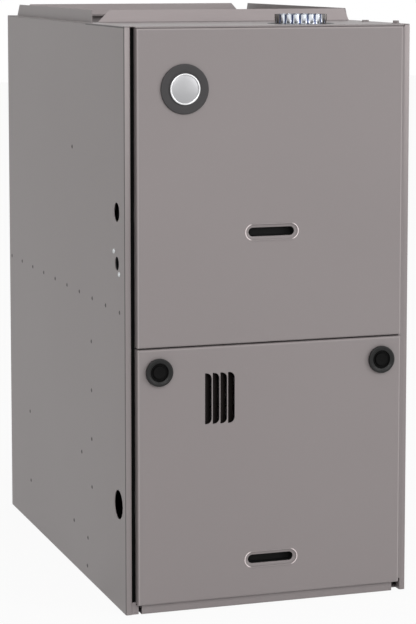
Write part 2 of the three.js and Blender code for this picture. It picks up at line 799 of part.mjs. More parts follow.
function collectorBox() {
  const reach = tubePitch * (tubeCount - 1) / 2 + tubeRadius + collectorMargin;
  const [x0, x1] = [tubeMiddleX - reach, tubeMiddleX + reach];
  const [z0, z1] = [outletHeight - collectorHalfHeight, outletHeight + collectorHalfHeight];
  const sheet = collectorSheet;
  const rear = wallPlane - seat;
  const room = roundedRectangle(x0 + sheet, x1 - sheet, z0 + sheet, z1 - sheet, collectorCorner - sheet);
  const outer = alongY(shapeOf(roundedRectangle(x0, x1, z0, z1, collectorCorner)), collectorFront, rear);
  const inner = alongY(shapeOf(room), collectorFront + sheet, rear + 1);
  const rim = collectorFlange;
  const flange = alongY(shapeOf(roundedRectangle(x0 - rim, x1 + rim, z0 - rim, z1 + rim, rim), room),
    rear - sheet, rear);
  const inlet = alongY(shapeOf(circle(inducerInletRadius, 24, inducerX, outletHeight)),
    collectorFront - 1, collectorFront + 4);
  return cut(join(cut(outer, inner), flange), inlet);
}

// Modelled about the wheel's axis, with its back face at y = 0.
function inducerHousing() {
  const outline = scrollOutline(inducerScrollStart, inducerScrollEnd, inducerStartAngle, inducerOutletRise,
    inducerFacets);
  const inner = scrollOutline(inducerScrollStart - inducerWall, inducerScrollEnd - inducerWall,
    inducerStartAngle, inducerOutletRise + 5, inducerFacets);
  inner[0][0] = inner[1][0] = inducerCutX + inducerWall;
  const body = alongY(shapeOf(outline), -inducerThickness, 0);
  const hollow = alongY(shapeOf(inner), -inducerThickness + inducerWall, -inducerWall);
  const flange = alongZ(shapeOf(
    rectangle(inducerCutX - inducerFlange, inducerScrollEnd + inducerFlange, -inducerThickness, 0),
    rectangle(inducerCutX + inducerWall, inducerScrollEnd - inducerWall,
      -inducerThickness + inducerWall, -inducerWall)),
    inducerOutletRise - inducerFlangeSheet, inducerOutletRise);
  const inlet = alongY(shapeOf(circle(inducerInletRadius, 16)), -inducerWall - 1, 1);
  const shaftHole = alongY(shapeOf(circle(inducerShaftRadius + runClear, 8)),
    -inducerThickness - 1, -inducerThickness + inducerWall + 1);
  const ears = [1, 4, 7, 9].map((step) => {
    const [x, z] = outline[step + 1].map((value) => value * 1.04);
    return turnedForward([[0, 0], [inducerEarRadius, 0], [inducerEarRadius, 5], [0, 5]], 6)
      .translate(x, 0, z);
  });
  const tap = turned([[0, 0], [2.5, 0], [2.5, inducerTapLength], [0, inducerTapLength]], 6)
    .rotateY(Math.atan2(...tapHeading)).translate(tapFoot[0], -inducerThickness / 2, tapFoot[1]);
  return join(cut(join(body, flange), hollow, inlet, shaftHole), ...ears, tap);
}

// A backward disc with straight radial blades, as draft wheels have.
function inducerWheel() {
  const disc = turned([[inducerShaftRadius + slip, 0], [inducerWheelRadius, 0], [inducerWheelRadius, 1.5],
    [12, 1.5], [12, 14], [inducerShaftRadius + slip, 14]], 12);
  const blades = Array.from({ length: inducerBladeCount }, (_, i) =>
    block(inducerInletRadius + 2, inducerWheelRadius - 0.5, -0.6, 0.6, 1, inducerWheelWidth)
      .rotateZ(2 * Math.PI * i / inducerBladeCount));
  const [rimInner, rimOuter] = [inducerWheelRadius - 6, inducerWheelRadius];
  const [rimLow, rimHigh] = [inducerWheelWidth - 1, inducerWheelWidth + 1];
  const rim = turned([[rimInner, rimLow], [rimOuter, rimLow], [rimOuter, rimHigh], [rimInner, rimHigh]], 12);
  return join(disc, ...blades, rim).rotateX(-Math.PI / 2);
}

// Shaded-pole motor: lamination stack with its coil, two bearing bridges and its feet.
function inducerMotor() {
  const [w, h] = [motorWidth / 2, motorTall / 2];
  const bore = motorRotorRadius + 0.8;
  const stack = alongY(shapeOf(roundedRectangle(-w, w, -h - 14, h, 4), circle(bore, 16)),
    -motorStack / 2, motorStack / 2);
  const window = alongY(shapeOf(rectangle(-16, 16, -h - 3, -bore - 5)), -motorStack, motorStack);
  const coil = alongY(shapeOf(roundedRectangle(-18, 18, -h - 12, -bore - 3.5, 3)), -19, 19);
  const bearing = shapeOf(rectangle(-w + 4, w - 4, -9, 9), circle(inducerShaftRadius + slip, 8));
  const bridges = [-1, 1].map((hand) => join(
    alongY(bearing, Math.min(hand * 15, hand * 18), Math.max(hand * 15, hand * 18)),
    ...[-w + 4, w - 10].map((x) => block(x, x + 6, Math.min(0, hand * 18), Math.max(0, hand * 18), -9, 9))));
  const feet = [[-w + 8, h - 8], [w - 8, h - 8], [-w + 8, -h], [w - 8, -h]].map(([x, z]) =>
    turned([[0, 0], [4, 0], [4, motorStandoff + 1], [0, motorStandoff + 1]], 6)
      .rotateX(-Math.PI / 2).translate(x, motorStack / 2 - 1, z));
  return join(cut(stack, window), coil, ...bridges, ...feet);
}

function inducerShaft(reachFront, reachBack) {
  const r = inducerShaftRadius;
  return turned([[0, -reachBack], [r, -reachBack], [r, -12], [motorRotorRadius, -12], [motorRotorRadius, 12],
    [r, 12], [r, reachFront], [0, reachFront]], 12).rotateX(Math.PI / 2);
}

function coolingFan() {
  const hub = turned([[inducerShaftRadius + slip, 0], [9, 0], [9, 9], [inducerShaftRadius + slip, 9]], 12);
  const blades = Array.from({ length: coolingBladeCount }, (_, i) =>
    block(7, coolingFanRadius, -8, 8, -0.6, 0.6).rotateX(0.5).translate(0, 0, 4.5)
      .rotateZ(2 * Math.PI * i / coolingBladeCount));
  return join(hub, ...blades).rotateX(Math.PI / 2);
}

// Square inducer outlet below, round vent collar above. The round end slips over the collar's tail.
function flueTransition() {
  const low = outletHeight + inducerOutletRise + seat;
  const high = casingHeight - ventTail + ventLap;
  const rounded = (ventRadius + slip) / Math.cos(Math.PI / ventSides);
  const [boxX, boxY] = [(inducerScrollEnd - inducerCutX) / 2, inducerThickness / 2];
  const offset = (inducerFront + inducerBack) / 2 - at(ventDepth);
  const wall = 1.2;
  const steps = 4;
  const neck = high - low - ventLap - 2;       // the last step is straight and takes the collar
  const section = shapeOf(circle(rounded + wall, ventSides), circle(rounded, ventSides));
  const sleeve = new THREE.ExtrudeGeometry(section, { depth: high - low, steps, bevelEnabled: false });
  const duct = warped(sleeve, (point) => {
    const share = Math.min(1, point.z / (high - low) * steps / (steps - 1));
    const blend = share * share * (3 - 2 * share);
    const height = share < 1 ? share * neck : point.z < high - low - 1 ? neck : high - low;
    const radius = Math.hypot(point.x, point.y);
    const [c, s] = [point.x / radius, point.y / radius];
    const inset = radius - rounded;
    const square = Math.min((boxX + inset) / Math.max(Math.abs(c), 1e-6),
      (boxY + inset) / Math.max(Math.abs(s), 1e-6));
    const size = square + (radius - square) * blend;
    point.set(c * size, s * size + offset * (1 - blend), height);
  });
  const foot = alongZ(shapeOf(
    rectangle(-boxX - 8, boxX + 8, offset - boxY - 2, offset + boxY + 2),
    rectangle(-boxX + 3, boxX - 3, offset - boxY + 3, offset + boxY - 3)), 0, 1.6);
  return { geometry: join(duct, foot), low };
}

const inducerPlace = [inducerX, inducerBack, outletHeight];
const motorPlane = inducerFront - motorStandoff - motorStack / 2 - seat;
piece('collector_box', collectorBox(), 'galvanised');
piece('inducer_housing', inducerHousing(), 'blackSteel', furnace, inducerPlace);
const wheelBack = inducerBack - inducerWall - 7;
piece('inducer_wheel', inducerWheel(), 'galvanised', furnace,
  [inducerX, wheelBack - inducerWheelWidth - 1, outletHeight]);
piece('inducer_motor', inducerMotor(), 'blackSteel', furnace, [inducerX, motorPlane, outletHeight]);
piece('inducer_shaft', inducerShaft(34, inducerBack - inducerWall - 10 - motorPlane), 'silver',
  furnace, [inducerX, motorPlane, outletHeight]);
piece('inducer_cooling_fan', coolingFan(), 'blackPlastic', furnace,
  [inducerX, motorPlane - 22, outletHeight]);
const transition = flueTransition();
piece('flue_transition', transition.geometry, 'galvanised', furnace,
  [ventX, at(ventDepth), transition.low]);

// ---------------------------------------------------------------- burners and gas train

// In-shot burner: bell mouth, throat, flared head, and a flat seam flange to each side.
function burner() {
  const [y0, y1] = [0, burnerRearDepth - burnerFrontDepth];
  const [bell, throat, head] = [burnerBellRadius, burnerThroatRadius, burnerHeadRadius];
  const [mouthEnd, throatStart, throatEnd, headStart] = [0.08, 0.285, 0.57, 0.815].map((share) => share * y1);
  const outside = [[bell, y0], [bell, mouthEnd], [throat, throatStart], [throat, throatEnd],
    [head, headStart], [head, y1]];
  const inside = outside.map(([r, y]) => [r - burnerSheet, y]).reverse();
  const shell = turned([...outside, ...inside], 10).rotateX(-Math.PI / 2);
  const wing = (hand) => {
    const edge = burnerWing * hand;
    const root = (throat - burnerSheet / 2) * hand;
    return block(Math.min(root, edge), Math.max(root, edge), throatStart + 6, headStart - 2, -0.8, 0.8);
  };
  const [throatBore, headBore] = [throat - burnerSheet, head - burnerSheet];
  const bore = turned([[0, throatStart], [throatBore, throatStart], [throatBore, throatEnd],
    [headBore, headStart], [headBore, y1 + 1], [0, y1 + 1]], 10).rotateX(-Math.PI / 2);
  const crossBar = block(-head + burnerSheet / 2, head - burnerSheet / 2, y1 - 7, y1 - 1, -0.6, 0.6);
  return join(cut(join(shell, wing(-1), wing(1)), bore), crossBar);
}

// Rack that carries the burners and the manifold: a floor with two cheeks and a pierced plate.
function burnerRack() {
  const [x0, x1] = [tubeMiddleX - rackHalfWidth, tubeMiddleX + rackHalfWidth];
  const [z0, z1] = [rackFloor, rackFloor + rackHeight];
  const [y0, y1] = [at(rackFrontDepth), wallPlane - seat];
  const trough = alongY(foldedSheet([[x0, z1], [x0, z0], [x1, z0], [x1, z1]], rackSheet, 1), y0, y1);
  const plate = alongY(shapeOf(rectangle(x0 + 0.5, x1 - 0.5, z0 + 0.5, z1 - 12)),
    at(rackPlateDepth), at(rackPlateDepth) + rackSheet);
  const ear = (edge, hand) => block(Math.min(edge, edge + hand * 14), Math.max(edge, edge + hand * 14),
    y1 - rackSheet, y1, z0 + 2, z1);
  const rack = join(trough, plate, ear(x0 + 0.6, -1), ear(x1 - 0.6, 1));
  const bells = tubeX.map((x) => alongY(shapeOf(holeRound(burnerBellRadius, 10, x, burnerHeight)),
    at(rackPlateDepth) - 2, at(rackPlateDepth) + 4));
  const wingSlots = tubeX.map((x) => block(x - burnerWing - 2, x + burnerWing + 2, at(rackPlateDepth) - 2,
    at(rackPlateDepth) + 4, burnerHeight - 1.4, burnerHeight + 1.4));
  const sensorHole = alongX(shapeOf(circle(5, 12, at(sensorDepth), burnerHeight)), x0 - 1, x0 + 3);
  return cut(rack, ...bells, ...wingSlots, sensorHole);
}

const manifoldRight = tubeX[tubeCount - 1] + 24;
const manifoldPlane = at(manifoldDepth);
const valveBottom = gasHole.height - valveTall / 2;

// Pipe from the valve's outlet, down and along in front of the burners, capped at its far end.
function gasManifold() {
  const route = new BentPath([
    [valveX, manifoldPlane, valveBottom - seat],
    [valveX, manifoldPlane, burnerHeight],
    [manifoldRight, manifoldPlane, burnerHeight],
  ], manifoldElbow, 4);
  const run = pipe(route, manifoldRadius, manifoldRadius, 12);
  const cap = turnedX([[0, 0], [14, 0], [14, 12], [0, 12]], 6)
    .translate(manifoldRight - 8, manifoldPlane, burnerHeight);
  const union = turned([[0, 0], [15, 0], [15, 13], [0, 13]], 6)
    .translate(valveX, manifoldPlane, valveBottom - seat - 13);
  const bossEnd = bossDepth + manifoldRadius;
  const bosses = tubeX.map((x) => turned([[0, 0], [8, 0], [8, bossEnd], [0, bossEnd]], 12)
    .rotateX(-Math.PI / 2).translate(x, manifoldPlane, burnerHeight));
  const feet = [-1, 1].map((hand) => {
    const x = tubeMiddleX + hand * tubePitch / 2;
    return block(x - 8, x + 8, manifoldPlane - 6, manifoldPlane + 6,
      rackFloor + rackSheet + seat, burnerHeight);
  });
  return join(run, cap, union, ...bosses, ...feet);
}

// Brass spud: hexagon, shank and drilled nose.
function orifice() {
  return turned([[0, 0], [6.5, 0], [6.5, 5], [4.5, 5.5], [4.5, 11], [2.5, orificeLength],
    [0.9, orificeLength], [0.9, orificeLength - 6], [0, orificeLength - 6]], 6).rotateX(-Math.PI / 2);
}

// Cast valve: rounded body, inlet and outlet bosses, regulator tower and terminal block.
function gasValve() {
  const [w, d, h] = [valveWidth / 2, valveDepth / 2, valveTall / 2];
  const body = alongZ(shapeOf(roundedRectangle(-w, w, -d, d, 8)), -h + 8, h - 10);
  const foot = alongZ(shapeOf(roundedRectangle(-w + 10, w - 10, -d + 4, d - 4, 6)), -h, -h + 9);
  const lid = alongZ(shapeOf(roundedRectangle(-w + 3, w - 3, -d + 3, d - 3, 6)), h - 11, h - 3);
  const tower = turned([[0, 0], [11, 0], [11, 10], [9, 12], [0, 12]], 12).translate(w - 18, 6, h - 4);
  const inletY = at(gasHole.depth) - (at(valveFrontDepth) + d);
  const inlet = cut(
    turnedX([[0, 0], [17, 0], [17, 14], [0, 14]], 12).translate(-w - 8, inletY, 0),
    turnedX([[0, 0], [manifoldRadius, 0], [manifoldRadius, 20], [0, 20]], 12).translate(-w - 10, inletY, 0));
  const terminals = [0, 1, 2].map((i) => block(-w + 12 + i * 9, -w + 18 + i * 9, 2, 3, h - 4, h + 6));
  const stem = turnedForward([[0, -2], [10, -2], [10, 2], [0, 2]], 12).translate(6, -d, 4);
  const shaft = turnedForward([[0, 0], [3.5, 0], [3.5, 9], [0, 9]], 8).translate(6, -d, 4);
  return join(body, foot, lid, tower, inlet, stem, shaft, ...terminals);
}

function gasValveKnob() {
  const skirt = turnedForward([[0, 0], [valveKnobRadius, 0], [valveKnobRadius, 5], [10, 8], [0, 8]], 16);
  const grip = block(-valveKnobRadius + 2, valveKnobRadius - 2, -14, -6, -2.5, 2.5);
  const bore = turnedForward([[0, -1], [4, -1], [4, 7], [0, 7]], 8);
  return cut(join(skirt, grip), bore);
}

// Hot-surface igniter: ceramic block on a plate, with a forked element into the burner's flame.
function igniter() {
  const plate = block(-rackSheet, 0, -9, 9, -12, 14);
  const base = block(-24, -0.6, -6, 6, -5, 6);
  const legs = [-3.5, 3.5].map((z) => block(-44, -23, -1.2, 1.2, z - 1.4, z + 1.4));
  const tip = block(-46, -43, -1.2, 1.2, -4.9, 4.9);
  return join(plate, base, ...legs, tip);
}

function flameSensor() {
  const plate = block(0, rackSheet, -9, 9, -9, 9);
  const insulator = turnedX([[0, 0], [5, 0], [5, 16], [3.5, 22], [0, 22]], 12);
  const rod = turnedX([[0, 20], [1.5, 20], [1.5, sensorRod], [0, sensorRod]], 8);
  const blade = block(-9, 0.6, -3, 3, -0.5, 0.5);
  return join(plate, insulator, rod, blade);
}

// Manual-reset rollout switch: eared plate, disc body, two blades, and a hole for its button.
function rolloutSwitch() {
  const plate = alongY(shapeOf(stadium(40, 15, 4)), -1, 0);
  const body = turnedForward([[0, 0.5], [9.5, 0.5], [9.5, 10], [0, 10]], 12);
  const blades = [-6, 6].map((z) => block(-2.5, 2.5, -17, -9, z - 0.4, z + 0.4));
  const well = turnedForward([[0, 4], [3.5, 4], [3.5, 12], [0, 12]], 8);
  return cut(join(plate, body, ...blades), well);
}

function rolloutButton() {
  return turnedForward([[0, 0], [3, 0], [3, 7], [2.4, 7.6], [0, 7.6]], 8);
}

function limitSwitch() {
  const plate = alongY(shapeOf(roundedRectangle(-21, 21, -14, 14, 3)), -1, 0);
  const body = turnedForward([[0, 0.5], [9.5, 0.5], [9.5, 13], [0, 13]], 12);
  const probe = turnedForward([[0, -18], [limitProbeRadius - 1, -18], [limitProbeRadius, -14],
    [limitProbeRadius, 0.5], [0, 0.5]], 12);
  const blades = [-6, 6].map((x) => block(x - 0.4, x + 0.4, -20, -12, -3, 3));
  return join(plate, body, probe, ...blades);
}

// Diaphragm pressure switch on its bracket, with a hose barb below and two blades.
const switchRadius = 36;
const switchBack = 9;
const switchThick = 22;
const hoseRadius = 3.6;
function pressureSwitch() {
  const body = turnedForward([[0, switchBack], [switchRadius, switchBack], [switchRadius, switchBack + 5],
    [switchRadius - 3, switchBack + 8], [switchRadius - 3, switchBack + 14], [16, switchBack + switchThick],
    [0, switchBack + switchThick]], 20);
  const bracket = alongX(foldedSheet([[0, 46], [0, -30], [-switchBack - 1, -30]], 1.2, -1), -14, 14);
  const strap = block(-14, 14, -switchBack - 1, -0.2, 30, 31.2);
  const barb = turned([[0, 0], [2.6, 0], [2.6, 4], [2, 15], [0, 15]], 10).rotateX(Math.PI)
    .translate(0, -switchBack - 10, -switchRadius + 6);
  const face = -switchBack - switchThick;
  const blades = [-8, 8].map((x) => block(x - 3, x + 3, face - 8, face + 6, 6, 6.8));
  return join(body, bracket, strap, barb, ...blades);
}

const burnerY = at(burnerFrontDepth);
const rackInside = rackHalfWidth - rackSheet - seat;
tubeX.forEach((x, i) => {
  piece(`burner_${i + 1}`, burner(), 'aluminised', furnace, [x, burnerY, burnerHeight]);
  piece(`gas_orifice_${i + 1}`, orifice(), 'brass', furnace,
    [x, manifoldPlane + manifoldRadius + bossDepth + seat, burnerHeight]);
});
piece('burner_rack', burnerRack(), 'aluminised');
piece('gas_manifold', gasManifold(), 'blackSteel');
const valvePlace = [valveX, at(valveFrontDepth) + valveDepth / 2, gasHole.height];
piece('gas_valve', gasValve(), 'castAluminium', furnace, valvePlace);
piece('gas_valve_knob', gasValveKnob(), 'blackPlastic', furnace,
  [valveX + 6, at(valveFrontDepth) - 2 - seat, gasHole.height + 4]);
piece('hot_surface_igniter', igniter(), 'ceramic', furnace,
  [tubeMiddleX + rackInside, at(sensorDepth), burnerHeight]);
piece('flame_sensor', flameSensor(), 'ceramic', furnace,
  [tubeMiddleX - rackInside, at(sensorDepth), burnerHeight]);
[['left', -1], ['right', 1]].forEach(([side, hand]) => {
  const place = [tubeMiddleX + hand * (rackHalfWidth - 20), wallPlane - seat, rackFloor + rackHeight + 26];
  piece(`rollout_switch_${side}`, rolloutSwitch(), 'blackPlastic', furnace, place);
  piece(`rollout_button_${side}`, rolloutButton(), 'redPlastic', furnace,
    [place[0], place[1] - 4 - rolloutTravel - slip, place[2]]);
});
piece('main_limit_switch', limitSwitch(), 'blackPlastic', furnace,
  [limitSwitchPlace[0], wallPlane - seat, limitSwitchPlace[2]]);
const switchPlace = [-fitHalf + switchRadius + 8, wallPlane - seat, outletHeight + 16];
piece('pressure_switch', pressureSwitch(), 'greyPlastic', furnace, switchPlace);

// Silicone hose from the pressure switch's barb to the tap on the inducer housing.
function pressureHose() {
  const barbEnd = [switchPlace[0], switchPlace[1] - switchBack - 10, switchPlace[2] - switchRadius - 9.5];
  const reach = inducerTapLength + slip + 0.4;
  const tapEnd = [inducerX + tapFoot[0] + tapHeading[0] * reach, inducerBack - inducerThickness / 2,
    outletHeight + tapFoot[1] + tapHeading[1] * reach];
  const points = [
    barbEnd,
    [barbEnd[0], barbEnd[1], barbEnd[2] - 14],
    [barbEnd[0] + 14, barbEnd[1] - 8, barbEnd[2] - 34],
    [(barbEnd[0] + tapEnd[0]) / 2, (barbEnd[1] + tapEnd[1]) / 2 - 6, barbEnd[2] - 42],
    [tapEnd[0] - 24, tapEnd[1] - 1, tapEnd[2] - 20],
    tapEnd,
  ].map((point) => new THREE.Vector3(...point));
  const extrudePath = new THREE.CatmullRomCurve3(points, false, 'catmullrom', 0.5);
  return new THREE.ExtrudeGeometry(shapeOf(circle(hoseRadius, 8)),
    { steps: 20, extrudePath, bevelEnabled: false });
}
piece('pressure_hose', pressureHose(), 'silicone');

// ---------------------------------------------------------------- blower

// Scroll's outline in the YZ plane about the wheel's axis, from its front flange to its rear one.
const scrollTop = deckTop - casingSheet - seat - blowerHeight;
function scrollLine(grow = 0) {
  const line = scrollOutline(scrollStart + grow, scrollEnd + grow, scrollStartAngle, scrollTop, 18);
  line[0][0] = line[1][0];
  return line;
}

// Turns outline points, whose first and last stand at the outlet, into a sheet of even thickness.
function sheetAlong(line, thickness) {
  const normals = line.map((point, i) => {
    const [a, b] = [line[Math.max(i - 1, 0)], line[Math.min(i + 1, line.length - 1)]];
    const [x, y] = unit(b[0] - a[0], b[1] - a[1]);
    return [-y, x];
  });
  const inner = line.map(([x, y], i) => [x + normals[i][0] * thickness, y + normals[i][1] * thickness]);
  return shapeOf([...line, ...inner.reverse()]);
}

function blowerWrap() {
  const wrap = alongX(sheetAlong(scrollLine(), scrollSheet), -scrollHalfWidth, scrollHalfWidth);
  const flange = (y0, y1) =>
    block(-scrollHalfWidth, scrollHalfWidth, y0, y1, scrollTop - scrollSheet, scrollTop);
  return join(wrap, flange(scrollCutX - scrollFlange, scrollCutX + 0.5),
    flange(scrollEnd - 0.5, scrollEnd + scrollFlange));
}

// Side plate with the rolled inlet ring that leads the air into the wheel. Its outer face is at x = 0.
function blowerSide() {
  const line = scrollLine(scrollRim);
  line[0][1] = line[line.length - 1][1] = scrollTop;
  line[0][0] = line[1][0] = scrollCutX - scrollRim;
  const plate = alongX(shapeOf(line, circle(inletRadius + 6, 24)), 0, scrollSheet);
  const ring = turnedX([
    [inletRadius + 8, 0], [inletRadius + 8, scrollSheet], [inletRadius + 4, scrollSheet + 2],
    [inletRadius + 1, inletLip], [inletRadius, inletLip], [inletRadius + 3, 0],
  ], 24);
  return join(plate, ring);
}

// Squirrel-cage wheel: forward-curved blades between two rims, on a centre disc and hub.
function blowerWheel() {
  const bladeArc = (thick) => {
    const points = [];
    for (let i = 0; i <= 3; i++) {
      const share = i / 3;
      const radius = wheelInner + (wheelRadius - 1 - wheelInner) * share;
      const sweep = 0.16 * share * share + 0.015 * share;
      const [c, s] = [Math.cos(sweep), Math.sin(sweep)];
      points.push([radius * c - thick * s, radius * s + thick * c]);
    }
    return points;
  };
  const blade = shapeOf([...bladeArc(-bladeSheet / 2), ...bladeArc(bladeSheet / 2).reverse()]);
  const half = wheelWidth / 2;
  const blades = Array.from({ length: bladeCount }, (_, i) =>
    alongZ(blade, -half + wheelRim / 2, half - wheelRim / 2).rotateZ(2 * Math.PI * i / bladeCount));
  const rim = (z) => turned([[wheelInner - 1.5, z], [wheelRadius, z], [wheelRadius, z + wheelRim],
    [wheelInner - 1.5, z + wheelRim]], bladeCount);
  const [bore, hubHalf] = [blowerShaftRadius + slip, hubLength / 2];
  const disc = turned([[bore, -hubHalf], [hubRadius, -hubHalf], [hubRadius, -1], [wheelInner + 3, -1],
    [wheelInner + 3, 1], [hubRadius, 1], [hubRadius, hubHalf], [bore, hubHalf]], bladeCount);
  return join(disc, ...blades, rim(-half), rim(half - wheelRim)).rotateY(Math.PI / 2);
}

// Belted can motor with vented end bells. It lies on the X axis, and its inner end is at x = 0.
function blowerMotor() {
  const r = motorRadius;
  const length = motorLength;
  const can = turnedX([
    [0, -length], [24, -length], [30, -length + 6], [r - 14, -length + 8], [r - 2, -length + 18],
    [r, -length + 20], [r, -20], [r - 2, -18], [r - 14, -8], [30, -6], [22, 0], [blowerShaftRadius + slip, 0],
    [blowerShaftRadius + slip, -24], [0, -24],
  ], 24);
  const slots = [0, 1, 2, 3].map((i) =>
    block(-length + 4, -length + 19, r - 26, r - 17, -9, 9).rotateX(Math.PI * i / 2));
  return cut(can, ...slots);
}

// Belly band round the motor, with three arms bent in to the side plate of the housing.
function motorMount(bandX) {
  const inner = motorRadius + slip;
  const outer = inner + bandSheet;
  const [x0, x1] = [bandX - bandWidth / 2, bandX + bandWidth / 2];
  const band = turnedX([[outer, x0], [outer, x1], [inner, x1], [inner, x0]], 24);
  const sideFace = -scrollHalfWidth - seat - scrollSheet - seat;
  const reach = inletRadius + 26;
  const arm = alongX(shapeOf(rectangle(-armWidth / 2, armWidth / 2, outer - 0.6, reach)), x0, x0 + 2.5);
  const leg = alongX(shapeOf(rectangle(-armWidth / 2, armWidth / 2, reach - 2.5, reach)), x0, sideFace);
  const foot = alongX(shapeOf(rectangle(-armWidth / 2, armWidth / 2, reach - 2.5, reach + 14)),
    sideFace - 2.5, sideFace);
  const arms = Array.from({ length: armCount }, (_, i) =>
    join(arm.clone(), leg.clone(), foot.clone()).rotateX(2 * Math.PI * i / armCount));
  return join(band, ...arms);
}

// Oval run capacitor in its strap, screwed to the side of the blower.
function capacitor() {
  const top = capacitorTall / 2;
  const oval = (grow) => shapeOf(stadium(capacitorLength + grow, capacitorWidth + grow));
  const can = alongZ(oval(0), -top, top);
  const lid = alongZ(oval(2), top - 2, top + 0.5);
  const strap = alongZ(oval(strapGrow), -6, 6);
  const blades = [-10, 10].map((x) => block(x - 3, x + 3, -0.4, 0.4, top, top + 10));
  const side = (capacitorWidth + strapGrow) / 2;
  const footHalf = (capacitorLength + capacitorWidth) / 2;
  const foot = block(-footHalf, footHalf, side - 1.2, side, -6, 6);
  return join(can, lid, strap, foot, ...blades).rotateZ(Math.PI / 2);
}

const blowerPlace = [0, at(blowerDepth), blowerHeight];
const blower = assembly(blowerPlace);
piece('blower_wrap', blowerWrap(), 'galvanised', blower);
piece('blower_side_right', mirroredX(blowerSide()), 'galvanised', blower,
  [scrollHalfWidth + seat + scrollSheet, 0, 0]);
piece('blower_side_left', blowerSide(), 'galvanised', blower, [-scrollHalfWidth - seat - scrollSheet, 0, 0]);
piece('blower_wheel', blowerWheel(), 'galvanised', blower);
piece('blower_shaft', turnedX([[0, -20 + motorInnerEnd], [blowerShaftRadius, -20 + motorInnerEnd],
  [blowerShaftRadius, hubLength / 2 + 12], [0, hubLength / 2 + 12]], 16), 'silver', blower);
piece('blower_motor', blowerMotor(), 'blackSteel', blower, [motorInnerEnd, 0, 0]);
const bandX = -scrollHalfWidth - scrollSheet - 2 * seat - bandWidth / 2 + 6;
piece('motor_mount', motorMount(bandX), 'galvanised', blower);
const capacitorX = scrollHalfWidth + 2 * seat + scrollSheet + (capacitorWidth + strapGrow) / 2;
piece('blower_capacitor', capacitor(), 'aluminised', blower,
  [capacitorX, capacitorBehindAxis, capacitorAboveAxis]);

// ---------------------------------------------------------------- controls

// Sheet-metal tray hung from the blower deck, facing the lower door.
const trayTop = deckTop - casingSheet - seat;
const trayBottom = trayTop - trayTall;
function controlTray() {
  const face = at(trayDepth);
  const rear = face + trayFold;
  const profile = foldedSheet([[face, trayBottom], [face, trayTop], [rear, trayTop]], traySheet, -1);
  const side = (x) =>
    block(x, x + traySheet, face + traySheet / 2, rear, trayBottom, trayTop - traySheet / 2);
  return join(alongX(profile, trayLeft, trayRight), side(trayLeft), side(trayRight - traySheet));
}

// Circuit board on four posts, with relays, a transformer block, terminals and its spade strips.
function controlBoard() {
  const board = alongY(shapeOf(roundedRectangle(0, boardWidth, 0, boardTall, 3)),
    -boardStandoff - boardSheet, -boardStandoff);
  const postEnd = boardStandoff + 0.5;
  const posts = [boardPostInset, boardWidth - boardPostInset].flatMap((x) =>
    [boardPostInset, boardTall - boardPostInset].map((z) =>
      turnedForward([[0, 0], [3, 0], [3, postEnd], [0, postEnd]], 8).translate(x, 0, z)));
  const on = -boardStandoff - 1;
  const part = (x, z, w, h, tall) => block(x, x + w, on - tall, on, z, z + h);
  const relays = [14, 38, 62].map((x) => part(x, 66, 20, 26, 18));
  const lineTerminals = part(14, 40, 34, 10, 8);
  const processor = part(56, 36, 18, 18, 4);
  const smoothing = part(88, 34, 10, 24, 11);
  const bridge = part(96, 70, 26, 22, 14);
  const thermostatStrip = part(14, 8, 72, 9, 12);
  const plug = part(104, 8, 34, 14, 10);
  const fuse = part(128, 36, 12, 20, 6);
  return join(board, ...posts, ...relays, lineTerminals, processor, smoothing, bridge, thermostatStrip,
    plug, fuse);
}

// Open-frame transformer: stacked core, winding and mounting feet.
function transformer() {
  const half = transformerHalf;
  const core = block(-half, half, -36, -10, -24, 24);
  const winding = alongZ(shapeOf(roundedRectangle(-16, 16, -44, -2.5, 6)), -17, 17);
  const yoke = block(-half - 5, half + 5, -11, -0.2, -18, 18);
  const feet = block(-half - 8, half + 8, -1.4, 0, -12, 12);
  return join(core, winding, yoke, feet);
}

// Snap-in interlock switch: body behind the rail, bezel in front, and a well for its plunger.
function doorSwitch() {
  const through = railSheet + seat;
  const body = block(-7, 7, through, through + 26, -5, 5);
  const bezel = block(-10, 10, -1.6, -seat, -7.5, 7.5);
  const neck = block(-6.5, 6.5, -1, through + 1, -4.8, 4.8);
  const blades = [-4, 4].map((x) => block(x - 0.4, x + 0.4, through + 25, through + 33, -3, 3));
  const well = block(-2.8, 2.8, -3, plungerStem + plungerTravel + 1, -2.8, 2.8);
  return cut(join(body, bezel, neck, ...blades), well);
}

function doorSwitchPlunger() {
  const shoulder = plungerReach - 1.5;
  const stem = block(-2.5, 2.5, -shoulder, plungerStem, -2.5, 2.5);
  const nose = alongX(shapeOf([[-plungerReach, -1.2], [-shoulder, -2.5], [-shoulder, 2.5],
    [-plungerReach, 1.2]]), -2.5, 2.5);
  return join(stem, nose);
}

// Steel box behind the wiring hole, open to the front, with a round knockout in its right wall.
function junctionBox() {
  const [d, h] = [boxDepth / 2, boxTall / 2];
  const sheet = boxSheet;
  const outer = block(0, boxWidth, -d, d, -h, h);
  const inner = block(sheet, boxWidth - sheet, -d - 1, d - sheet, sheet - h, h - sheet);
  const entry = alongX(shapeOf(circle(wiringHole.radius, 20)), -1, 3);
  const outlet = alongX(shapeOf(circle(knockoutRadius, 16)), boxWidth - 3, boxWidth + 1);
  return cut(outer, inner, entry, outlet);
}

